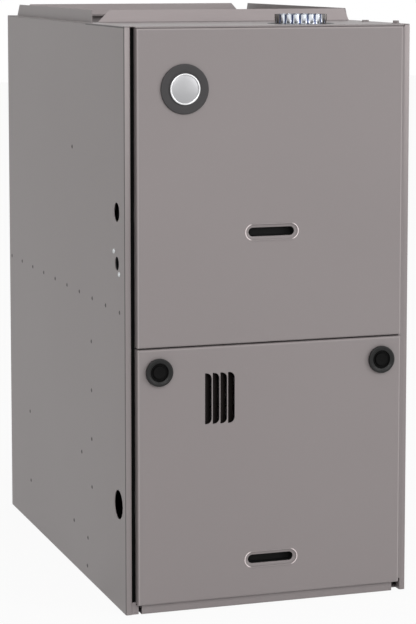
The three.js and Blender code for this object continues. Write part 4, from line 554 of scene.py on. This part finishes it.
def piece(name, bm, node, slot=None, edge=0.0, crease=38, wall=0.0, hides=True, finish=None):
    """Makes a piece that moves with a node's body, and stands for that node if it hides it."""
    mesh = bpy.data.meshes.new(name)
    for face in bm.faces:
        face.smooth = True
    for joint in bm.edges:
        joint.smooth = not (joint.is_manifold and joint.calc_face_angle(0) > radians(crease))
    bm.to_mesh(mesh)
    bm.free()
    made = bpy.data.objects.new(name, mesh)
    bpy.context.scene.collection.objects.link(made)
    slot = slot or SLOT_OF[node]
    mesh.materials.append(FINISHES[finish or slot])
    if wall:
        skin = made.modifiers.new("wall", "SOLIDIFY")
        skin.thickness = wall
        skin.offset = -1
    if edge:
        soft = made.modifiers.new("edge", "BEVEL")
        soft.width = edge
        soft.segments = 2
        soft.limit_method = "ANGLE"
        soft.angle_limit = radians(crease)
    even = made.modifiers.new("even", "WEIGHTED_NORMAL")
    even.weight = 100
    even.keep_sharp = True
    if hides:
        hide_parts(node)
    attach(made, BODY_OF[node])
    return made


def finished(node, edge=None, crease=38, finish=None):
    """A node's own shape with its cut edges rounded and its curves smooth."""
    bm = bmesh.new()
    bm.from_mesh(frame["nodes"][node].data)
    bmesh.ops.remove_doubles(bm, verts=bm.verts, dist=2e-6)
    width = bpy.context.scene.furnace_sizes.sheet_edge if edge is None else edge
    return piece(f"{node}_finished", bm, node, edge=width, crease=crease, finish=finish)


def hex_screw(x, y, z, direction, size=1.0):
    """Washer-faced hexagon head."""
    across = bpy.context.scene.furnace_sizes.screw_head / MM * size
    head = bmesh.new()
    bmesh.ops.create_cone(head, cap_ends=True, segments=6, radius1=across / 2 * MM, radius2=across / 2 * MM,
                          depth=3.6 * size * MM, matrix=Matrix.Translation((0, 0, 2.6 * size * MM)))
    rounded(head, head.edges[:], 0.4, 1)
    washer = turned([(0, 0), (across * 0.66, 0), (across * 0.66, 0.5), (across * 0.5, 1.1), (0, 1.1)], 20)
    return placed(together(head, washer), x, y, z, direction)


# ---------------------------------------------------------------- operators


class Making:
    """What the furnace's operators share."""

    bl_options = {"REGISTER", "UNDO"}

    def execute(self, context):
        self.make(context.scene.furnace_sizes)
        return {"FINISHED"}


class FURNACE_OT_cabinet(Making, bpy.types.Operator):
    """Casing, top plate and base, with their screws, trim, a black strip of painted shade in the left door
    gap, and pressed joints
    """

    bl_idname = "furnace.cabinet"
    bl_label = "Cabinet"

    def make(self, sizes):
        for node in ("casing_wrapper", "top_plate", "base_pan"):
            finished(node, finish="cabinet_paint")
        heads = [(201.5, 131, 0.62), (206.8, 131, 0.62), (211, 28, 1)]
        screws = [hex_screw(x, at(depth), PLATE_TOP, (0, 0, 1), size) for x, depth, size in heads]
        piece("cabinet_screws", together(*screws), "casing_wrapper", hides=False)
        lip = brick(-208, 208, at(-9.6), at(1), 861.3, 863.5, 0.5)
        toe = brick(-213.2, -207.3, at(0.3), at(2.2), 0.2, 18.6, 0.4)
        foot = brick(-207.3, -203, at(0.3), at(2.2), 0.2, 14.4, 0.4)
        stop = brick(207.5, 214, at(0.2), at(1.6), 18, 860, 0.4)
        piece("front_trim", together(lip, toe, foot, stop), "casing_wrapper", hides=False)
        # Painted shade: a near-black strip behind the left door's edge stands for the shade in the gap.
        gap_shade_strip = brick(-213.8, -207.4, at(2.4), at(5.4), 19.5, 860, 0.6)
        piece("door_gap_shade", gap_shade_strip, "casing_wrapper", "black_plastic", hides=False, finish="gap_shade_black")
        half, tall = 0.8, 6.5
        slits = [brick(-210.25, -209.9, at(depth) - half, at(depth) + half, low, low + tall)
                 for depth, low in ((416, 864.2), (503, 871))]
        piece("duct_slits", together(*slits), "top_plate", hides=False, finish="joint_shadow")
        self.pressed_joints(sizes)
        self.box_screws()

    def pressed_joints(self, sizes):
        """Small clinched dimples in both sides, where partitions are joined inside, painted dark all over as
        the shade in their hollows.
        """
        row = [(29 + 74.7 * i, 445.8) for i in range(10)]
        column = [(185, z) for z in (378.2, 302.2, 226.2, 151.0)]
        single = [(579.5, 193.6), (244.4, 193.9), (576.6, 74.3), (293.3, 72.9), (210.7, 64.8),
                  (214.8, 19.3), (290.9, 668.9)]
        r = sizes.clinch_radius / MM
        profile = [(0, -0.25), (r * 0.5, -0.25), (r * 0.8, 0.45), (r * 1.15, 0.3), (r * 1.4, 0.02), (0, 0.01)]
        made = [placed(turned(profile, 12), side * HALF_WIDTH, at(depth), z, (side, 0, 0))
                for depth, z in row + column + single for side in (-1, 1)]
        # The pressed joints are painted dark as shade.
        piece("pressed_joints", together(*made), "casing_wrapper", finish="dimple_shade", hides=False)

    def box_screws(self):
        """Two pan heads by each wiring hole."""
        profile = [(0, 0), (3.6, 0), (3.6, 0.5), (2.9, 1.6), (1.6, 2.1), (0.9, 2.15), (0.7, 1.2), (0, 1.2)]
        made = [placed(turned(profile, 20), side * HALF_WIDTH, at(depth), z, (side, 0, 0))
                for side in (-1, 1) for depth, z in ((56, 533.4), (28.3, 502.3))]
        piece("box_screws", together(*made), "casing_wrapper", "galvanised", hides=False)


class FURNACE_OT_vent_collar(Making, bpy.types.Operator):
    """Crimped collar for the flue, with a dark ring of painted shade round its foot"""

    bl_idname = "furnace.vent_collar"
    bl_label = "Vent collar"

    def make(self, sizes):
        radius, low, plain, high = 38.1, 839.6, 864.4, 877.6
        steps_per_flute, run_in = 12, 5
        bm = bmesh.new()
        bmesh.ops.create_circle(bm, cap_ends=False, segments=sizes.flute_count * steps_per_flute,
                                radius=radius * MM, matrix=Matrix.Translation((0, 0, low * MM)))
        rim = bm.edges[:]
        last = low
        for height in (plain, 866, 868, 871, 874, 876.5, high):
            corners, rim = extruded(bm, rim)
            bmesh.ops.translate(bm, vec=(0, 0, (height - last) * MM), verts=corners)
            swing = min(1.0, max(0.0, (height - plain) / run_in)) * sizes.flute_depth
            for v in corners:
                wave = sin(sizes.flute_count * Vector((v.co.x, v.co.y)).angle_signed(Vector((1, 0))))
                push = swing * (abs(wave) ** 0.7) * sign(wave)
                v.co.xy = v.co.xy.normalized() * (radius * MM + push)
            last = height
        bmesh.ops.recalc_face_normals(bm, faces=bm.faces)
        bmesh.ops.solidify(bm, geom=bm.faces[:], thickness=0.8 * MM)
        bmesh.ops.recalc_face_normals(bm, faces=bm.faces)
        ring = turned([(38.5, 861.0), (49, 861.0), (49, 861.8), (38.5, 861.8), (38.5, 861.0)], 64)
        collar = together(bm, ring)
        axis = (COLLAR_X * MM, COLLAR_Y * MM, 0)
        bmesh.ops.translate(collar, vec=axis, verts=collar.verts)
        piece("vent_collar_crimped", collar, "vent_collar", crease=50)
        # Painted shade: a dark ring on the plate stands for the shadow round the collar's foot.
        foot = PLATE_TOP + 0.02
        foot_shade_ring = turned([(41, foot), (50.5, foot), (50, 863.9), (49, 864.0), (42, 864.0), (41, foot)], 64)
        bmesh.ops.translate(foot_shade_ring, vec=axis, verts=foot_shade_ring.verts)
        piece("vent_collar_shade_ring", foot_shade_ring, "vent_collar", "silicone", hides=False)


class FURNACE_OT_doors(Making, bpy.types.Operator):
    """Both doors, with rounded folds, pressed handle rims and louvre slots"""

    bl_idname = "furnace.doors"
    bl_label = "Doors"

    def make(self, sizes):
        first, pitch, count = -98.5, 11.9, 4
        slots = [self.slot(first + pitch * i) for i in range(count)]
        knob_holes = [circle(7.3, x, KNOB_Z) for x in (-KNOB_X, KNOB_X)]
        self.door("upper", [])
        self.door("lower", slots + knob_holes)
        finished("louvre_insert", finish="louvre_black")

    def slot(self, x):
        """An upright louvre slot round x, square at the left and rounded at the right."""
        half, low, high, corner = 5.2, 280, 356, 8.5
        left, middle = x - half, x + half - corner
        return [(left, high), (left, low), *arc(middle, low + corner, corner, -90, 0, 7),
                *arc(middle, high - corner, corner, 0, 90, 7)]

    def door(self, which, holes):
        """The face is filled round its holes, then its edges are folded back and hemmed."""
        low, high = DOOR_ENDS[which]
        handle = HANDLE_Z[which]
        outline = soft_rectangle(-DOOR_HALF, DOOR_HALF, low, high, 1.2, 2)
        rim = [(x, z + handle) for x, z in stadium(*HANDLE_RIM)]
        bm = flat(outline, [rim, *holes])
        self.fold(bm, low, high, DOOR_HALF, bend=2.6, depth=24, hem=9)
        self.press(bm, handle)
        switch_tabs = [brick(109, 127, 0.8, 22.7, 378, 384, 0.6)] if which == "lower" else []
        moved(bm, Matrix.Rotation(pi / 2, 4, "X"))
        bmesh.ops.recalc_face_normals(bm, faces=bm.faces)
        pan = together(bm)
        bmesh.ops.solidify(pan, geom=pan.faces[:], thickness=1.0 * MM)
        bmesh.ops.recalc_face_normals(pan, faces=pan.faces)
        whole = together(pan, *switch_tabs)
        bmesh.ops.translate(whole, vec=(0, DOOR_FACE * MM, 0), verts=whole.verts)
        piece(f"{which}_door_pan", whole, f"{which}_door", crease=50, finish="door_paint")
        bead = self.bead(82.4, 23.6, 0.8)
        placed(bead, 0, DOOR_FACE, handle, (0, -1, 0))
        # The bead's finish carries a painted highlight.
        piece(f"{which}_handle_bead", bead, f"{which}_door", crease=60, finish="bead_highlight_paint", hides=False)

    def bead(self, across, tall, radius):
        """A raised round bead that follows the handle's stadium outline."""
        slant = radius * 0.7
        loops = [(0.0, -radius), (slant, -slant), (radius, 0.0), (slant, slant),
                 (0.0, radius), (-slant, slant), (-radius, 0.0), (-slant, -slant)]
        bm = bmesh.new()
        rows = [[bm.verts.new((x * MM, z * MM, lift * MM))
                 for x, z in stadium(across + 2 * out, tall + 2 * out)] for lift, out in loops]
        rims = [[bm.edges.new(pair) for pair in zip(row, row[1:] + row[:1])] for row in rows]
        for first, second in zip(rims, rims[1:] + rims[:1]):
            bmesh.ops.bridge_loops(bm, edges=first + second)
        bmesh.ops.recalc_face_normals(bm, faces=bm.faces)
        return bm

    def fold(self, bm, low, high, half, bend, depth, hem):
        """Rolls the outer edge back through a bend, runs it to the back and turns in the hem."""
        near = 2.1 * MM
        middle = (low + high) / 2 * MM

        def outer(v):
            ends = min(abs(v.co.y - low * MM), abs(v.co.y - high * MM))
            return abs(abs(v.co.x) - half * MM) < near or ends < near

        border = [e for e in bm.edges if e.is_boundary and all(outer(v) for v in e.verts)]
        for v in {v for e in border for v in e.verts}:
            v.co.x -= bend * MM * sign(v.co.x)
            v.co.y -= bend * MM * sign(v.co.y - middle)
        turns = [radians(22.5 * i) for i in range(5)]
        rolled = [(bend - bend * sin(turn), bend - bend * cos(turn)) for turn in turns]
        side_and_hem = [(0, depth - bend), (0, depth - 0.6), (1, depth), (hem, depth)]
        inset, back = rolled[0]
        for new_inset, new_back in rolled[1:] + side_and_hem:
            corners, border = extruded(bm, border)
            for v in corners:
                v.co.x += (inset - new_inset) * MM * sign(v.co.x)
                v.co.y += (inset - new_inset) * MM * sign(v.co.y - middle)
                v.co.z -= (new_back - back) * MM
            inset, back = new_inset, new_back

    def press(self, bm, handle):
        """Presses the rim of the handle: rounded shoulder, slope, and a short lip to the back."""
        centre = Vector((0, handle * MM))
        across, tall = HANDLE_RIM
        near_x, near_y = (across / 2 + 1) * MM, (tall / 2 + 0.6) * MM

        def inner(v):
            return abs(v.co.z) < 1e-7 and abs(v.co.y - centre.y) < near_y and abs(v.co.x) < near_x

        rim = [e for e in bm.edges if e.is_boundary and all(inner(v) for v in e.verts)]
        reach = (across - tall) / 2
        shoulder = [(12.6, 0.15), (11.9, 0.7), (11.0, 1.5), (10.2, 1.8)]
        slope_and_lip = [(6, 2.1), (1.8, 2.4), (0.5, 2.8), (0, 3.6)]
        for grow, sink in shoulder + slope_and_lip:
            across, tall = HANDLE_MOUTH[0] + grow, HANDLE_MOUTH[1] + grow
            old_reach, reach = reach, (across - tall) / 2
            corners, rim = extruded(bm, rim)
            for v in corners:
                x, y = v.co.x / MM, (v.co.y - centre.y) / MM
                side = sign(x)
                around = Vector((x - side * old_reach, y)).normalized() * tall / 2
                v.co = Vector(((side * reach + around.x) * MM, centre.y + around.y * MM, -sink * MM))


class FURNACE_OT_handles(Making, bpy.types.Operator):
    """Black pockets behind the pressed rims"""

    bl_idname = "furnace.handles"
    bl_label = "Handle pockets"

    def make(self, sizes):
        for which in ("upper", "lower"):
            finished(f"{which}_handle", sizes.moulded_edge * 0.6)


class FURNACE_OT_badge(Making, bpy.types.Operator):
    """Dark ring with a plain domed medallion in a bright rim"""

    bl_idname = "furnace.badge"
    bl_label = "Badge"

    def make(self, sizes):
        steps, forward = 96, (0, -1, 0)
        ring = turned([(0, 0.3), (35.9, 0.3), (36.3, 0.7), (36.4, 1.6), (36.2, 2.6), (35.6, 3.0), (34.6, 3.2),
                       (26.4, 3.2), (25.0, 2.6), (24.4, 2.4), (0, 2.4)], steps)
        rim = turned([(20.4, 2.9), (22.9, 2.9), (23, 3.6), (22.9, 4.6), (22.4, 5.3), (21.6, 5.6), (20.8, 5.4),
                      (20.3, 4.8), (20.2, 4.2), (20.4, 2.9)], steps)
        dome = turned([(0, 2.9), (20.3, 2.9), (20.2, 4.0), (17, 4.55), (12, 5.05), (6, 5.4), (0, 5.5)], steps)
        piece("badge_ring", placed(ring, *BADGE, forward), "badge_disc", crease=60)
        piece("badge_rim", placed(rim, *BADGE, forward), "badge_medallion", crease=60)
        piece("badge_dome", placed(dome, *BADGE, forward), "badge_medallion", finish="satin_dome",
              crease=60, hides=False)


class FURNACE_OT_knobs(Making, bpy.types.Operator):
    """Quarter-turn knobs with their stems and cams"""

    bl_idname = "furnace.knobs"
    bl_label = "Knobs"

    def make(self, sizes):
        steps, stem_end, cam_thickness = 72, -32.2, 3
        for side, which in ((-1, "left"), (1, "right")):
            dial = turned([
                (0, stem_end), (7, stem_end), (7, 0.3), (19.2, 0.3), (20.2, 0.8), (20.5, 1.6), (20.5, 5.0),
                (20.2, 5.7), (19.5, 6.0), (17.4, 6.0), (16.8, 5.7), (16.2, 5.0), (15.4, 4.6), (14.6, 4.7),
                (14.0, 4.4), (13.3, 3.4), (12.9, 1.0), (0, 1.0)], steps)
            core = turned([(0, 1.05), (12.8, 1.05), (12.7, 1.25), (10.0, 1.3), (9.7, 1.7), (9.5, 3.2),
                           (9.0, 3.7), (8.2, 3.8), (6.4, 3.5), (3.2, 3.1), (0, 3.0)], steps)
            hand = -side
            outline = [(0, -7), (hand * 27, -6.5), (hand * 32, -1.5), (hand * 32, 4.5), (hand * 30, 6.5),
                       (0, 7)]
            cam = moved(slab(outline, cam_thickness), Matrix.Translation((0, 0, stem_end * MM)))
            rounded(cam, cam.edges[:], 0.3)
            knob = together(placed(dial, 0, 0, 0, (0, -1, 0)), moved(cam, Matrix.Rotation(pi / 2, 4, "X")))
            axis = (side * KNOB_X, DOOR_FACE, KNOB_Z)
            bmesh.ops.translate(knob, vec=Vector(axis) * MM, verts=knob.verts)
            piece(f"{which}_knob_turned", knob, f"{which}_knob", crease=50, finish="knob_black")
            placed(core, *axis, (0, -1, 0))
            piece(f"{which}_knob_core", core, f"{which}_knob", crease=50, finish="core_black", hides=False)


class FURNACE_OT_partitions(Making, bpy.types.Operator):
    """Deck, inner wall, rail between the doors and tube support"""

    bl_idname = "furnace.partitions"
    bl_label = "Partitions"

    def make(self, sizes):
        for node in ("blower_deck", "vestibule_panel", "cross_rail", "tube_support"):
            finished(node)


class FURNACE_OT_heat_exchanger(Making, bpy.types.Operator):
    """Three bent tubes, and the flue gas path behind the inducer"""

    bl_idname = "furnace.heat_exchanger"
    bl_label = "Heat exchanger"

    def make(self, sizes):
        start, rear, near = at(187), at(602), at(262)
        lowest, bend, steps = 506, 37, 14
        first, second, third = (lowest + bend * i for i in (1, 3, 5))
        for i, x in enumerate((-80, 10, 100)):
            moves = [("run", (0, rear - start, 0)), ("bend", (x, rear, first), (1, 0, 0), 180, steps),
                     ("run", (0, near - rear, 0)), ("bend", (x, near, second), (1, 0, 0), -180, steps),
                     ("run", (0, rear - near, 0)), ("bend", (x, rear, third), (1, 0, 0), 180, steps),
                     ("run", (0, start - rear, 0))]
            tube = swept((x, start, lowest), (0, 1, 0), sizes.tube_radius / MM, moves, 32)
            node = f"heat_exchanger_tube_{i + 1}"
            piece(f"{node}_drawn", tube, node, wall=1.2 * MM, crease=60)
        finished("collector_box")
        finished("flue_transition", crease=60)


class FURNACE_OT_inducer(Making, bpy.types.Operator):
    """Draft inducer with its motor and fan"""

    bl_idname = "furnace.inducer"
    bl_label = "Draft inducer"

    def make(self, sizes):
        for node in ("inducer_housing", "inducer_wheel", "inducer_motor", "inducer_shaft",
                     "inducer_cooling_fan"):
            finished(node, sizes.moulded_edge)


class FURNACE_OT_burners(Making, bpy.types.Operator):
    """Burners, manifold, valve, igniter and flame sensor"""

    bl_idname = "furnace.burners"
    bl_label = "Burners"

    def make(self, sizes):
        for i in (1, 2, 3):
            finished(f"burner_{i}")
            finished(f"gas_orifice_{i}")
        for node in ("burner_rack", "gas_manifold", "gas_valve", "gas_valve_knob", "hot_surface_igniter",
                     "flame_sensor"):
            finished(node)


class FURNACE_OT_safety_switches(Making, bpy.types.Operator):
    """Rollout, limit, pressure and door switches"""

    bl_idname = "furnace.safety_switches"
    bl_label = "Safety switches"

    def make(self, sizes):
        for node in ("rollout_switch_left", "rollout_switch_right", "rollout_button_left",
                     "rollout_button_right", "main_limit_switch", "pressure_switch", "pressure_hose",
                     "door_switch", "door_switch_plunger"):
            finished(node)


class FURNACE_OT_blower(Making, bpy.types.Operator):
    """Squirrel-cage blower with its scroll, motor and capacitor"""

    bl_idname = "furnace.blower"
    bl_label = "Blower"

    def make(self, sizes):
        for node in ("blower_wrap", "blower_side_right", "blower_side_left", "blower_wheel", "blower_shaft",
                     "blower_motor", "motor_mount", "blower_capacitor"):
            finished(node)


class FURNACE_OT_controls(Making, bpy.types.Operator):
    """Control tray, circuit board, transformer and junction box"""

    bl_idname = "furnace.controls"
    bl_label = "Controls"

    def make(self, sizes):
        for node in ("control_tray", "control_board", "transformer"):
            finished(node)
        # The junction box is painted dark as shade behind the wiring holes.
        finished("junction_box", finish="shaded_box_zinc")


LAMPS = (                           # name, place in m, width in m, power in W
    ("key", (-1.1, -5.1, 3.0), 2.6, 96),
    ("fill", (3.4, -3.8, 2.0), 2.6, 60),
    ("top", (0.2, -0.6, 4.2), 3.0, 16),
)
LAMP_AIM = (0, 0, 0.45)             # the point that every lamp faces, in m
SKY_TINT, SKY_STRENGTH = (1, 0.965, 0.930), 0.385
FLOOR_SHADE, FLOOR_WHITE = (0.86, 0.86, 0.86), 0.93
CAMERA_PLACE = (-1117.5, at(-3065.5), 954.8)
CAMERA_YAW, CAMERA_PITCH = 18.435, 6.191
CAMERA_LENS = 128.58
SHIFT_PIXELS, PICTURE_HEIGHT = -108, 624


class FURNACE_OT_stage(bpy.types.Operator):
    """Pale floor, soft studio light and the camera"""

    bl_idname = "furnace.stage"
    bl_label = "Stage"

    def execute(self, context):
        self.floor(context.scene)
        self.world(context.scene)
        for name, place, size, power in LAMPS:
            self.lamp(context.scene, name, Vector(place), size, power)
        self.camera(context.scene)
        settings = context.scene.view_settings
        settings.view_transform = "Standard"
        return {"FINISHED"}

    def white_to_eye(self, nodes, lit, glow, share, output):
        """Mixes a lit shader with plain white for what the camera, gloss and glass see."""
        camera, gloss, glass = (nodes.node("ShaderNodeLightPath", {}, (), f"Is {ray} Ray")
                                for ray in ("Camera", "Glossy", "Transmission"))
        seen = camera.maths("MAXIMUM", camera, gloss)
        seen = seen.maths("MAXIMUM", seen, glass)
        white = nodes.node(glow, {}, {"Color": (1, 1, 1, 1)})
        mix = nodes.node("ShaderNodeMixShader", {}, (seen * share, Signal(nodes, lit.outputs[0]), white))
        nodes.feed(nodes.tree.nodes[output].inputs["Surface"], mix)

    def floor(self, scene):
        bm = bmesh.new()
        bmesh.ops.create_grid(bm, x_segments=1, y_segments=1, size=14)
        mesh = bpy.data.meshes.new("floor")
        bm.to_mesh(mesh)
        bm.free()
        floor = bpy.data.objects.new("floor", mesh)
        scene.collection.objects.link(floor)
        f = Finish("floor")
        mesh.materials.append(f.surface(base_color=FLOOR_SHADE, roughness=0.9))
        self.white_to_eye(f, f.shader, "ShaderNodeEmission", FLOOR_WHITE, "Material Output")

    def world(self, scene):
        world = bpy.data.worlds.new("studio")
        scene.world = world
        world.use_nodes = True
        nodes = Nodes(world.node_tree)
        back = nodes.tree.nodes["Background"]
        nodes.feed(back.inputs["Color"], (*SKY_TINT, 1))
        nodes.feed(back.inputs["Strength"], SKY_STRENGTH)
        self.white_to_eye(nodes, back, "ShaderNodeBackground", 1.0, "World Output")

    def lamp(self, scene, name, place, size, power):
        data = bpy.data.lights.new(name, "AREA")
        data.size = size
        data.energy = power
        lamp = bpy.data.objects.new(name, data)
        lamp.location = place
        lamp.rotation_mode = "QUATERNION"
        lamp.rotation_quaternion = (place - Vector(LAMP_AIM)).to_track_quat("Z", "Y")
        scene.collection.objects.link(lamp)

    def camera(self, scene):
        data = bpy.data.cameras.new("camera")
        data.lens = CAMERA_LENS
        data.shift_y = SHIFT_PIXELS / PICTURE_HEIGHT
        data.clip_end = 100
        camera = bpy.data.objects.new("camera", data)
        yaw, pitch = radians(CAMERA_YAW), radians(CAMERA_PITCH)
        look = Vector((sin(yaw) * cos(pitch), cos(yaw) * cos(pitch), -sin(pitch)))
        camera.location = Vector(CAMERA_PLACE) * MM
        camera.rotation_mode = "QUATERNION"
        camera.rotation_quaternion = look.to_track_quat("-Z", "Y")
        scene.collection.objects.link(camera)
        scene.camera = camera


MAKERS = (FURNACE_OT_cabinet, FURNACE_OT_vent_collar, FURNACE_OT_doors, FURNACE_OT_handles,
          FURNACE_OT_badge, FURNACE_OT_knobs, FURNACE_OT_partitions, FURNACE_OT_heat_exchanger,
          FURNACE_OT_inducer, FURNACE_OT_burners, FURNACE_OT_safety_switches, FURNACE_OT_blower,
          FURNACE_OT_controls, FURNACE_OT_stage)


class FURNACE_PT_sidebar(bpy.types.Panel):
    """Lists the furnace's makers, sizes and colours"""

    bl_idname = "FURNACE_PT_sidebar"
    bl_label = "Gas furnace"
    bl_space_type = "VIEW_3D"
    bl_region_type = "UI"
    bl_category = "Furnace"

    def draw(self, context):
        for maker in MAKERS:
            self.layout.operator(maker.bl_idname)
        for group in (context.scene.furnace_sizes, context.scene.furnace_colours):
            for key in group.bl_rna.properties.keys():
                if key not in ("rna_type", "name"):
                    self.layout.prop(group, key)


CLASSES = (FurnaceSizes, FurnaceColours, *MAKERS, FURNACE_PT_sidebar)


def register():
    for part in CLASSES:
        bpy.utils.register_class(part)
    bpy.types.Scene.furnace_sizes = PointerProperty(type=FurnaceSizes)
    bpy.types.Scene.furnace_colours = PointerProperty(type=FurnaceColours)


def unregister():
    del bpy.types.Scene.furnace_colours
    del bpy.types.Scene.furnace_sizes
    for part in reversed(CLASSES):
        bpy.utils.unregister_class(part)


def main():
    register()
    mix_finishes()
    for maker in MAKERS:
        area, name = maker.bl_idname.split(".")
        getattr(getattr(bpy.ops, area), name)()


if __name__ == "__main__":
    main()
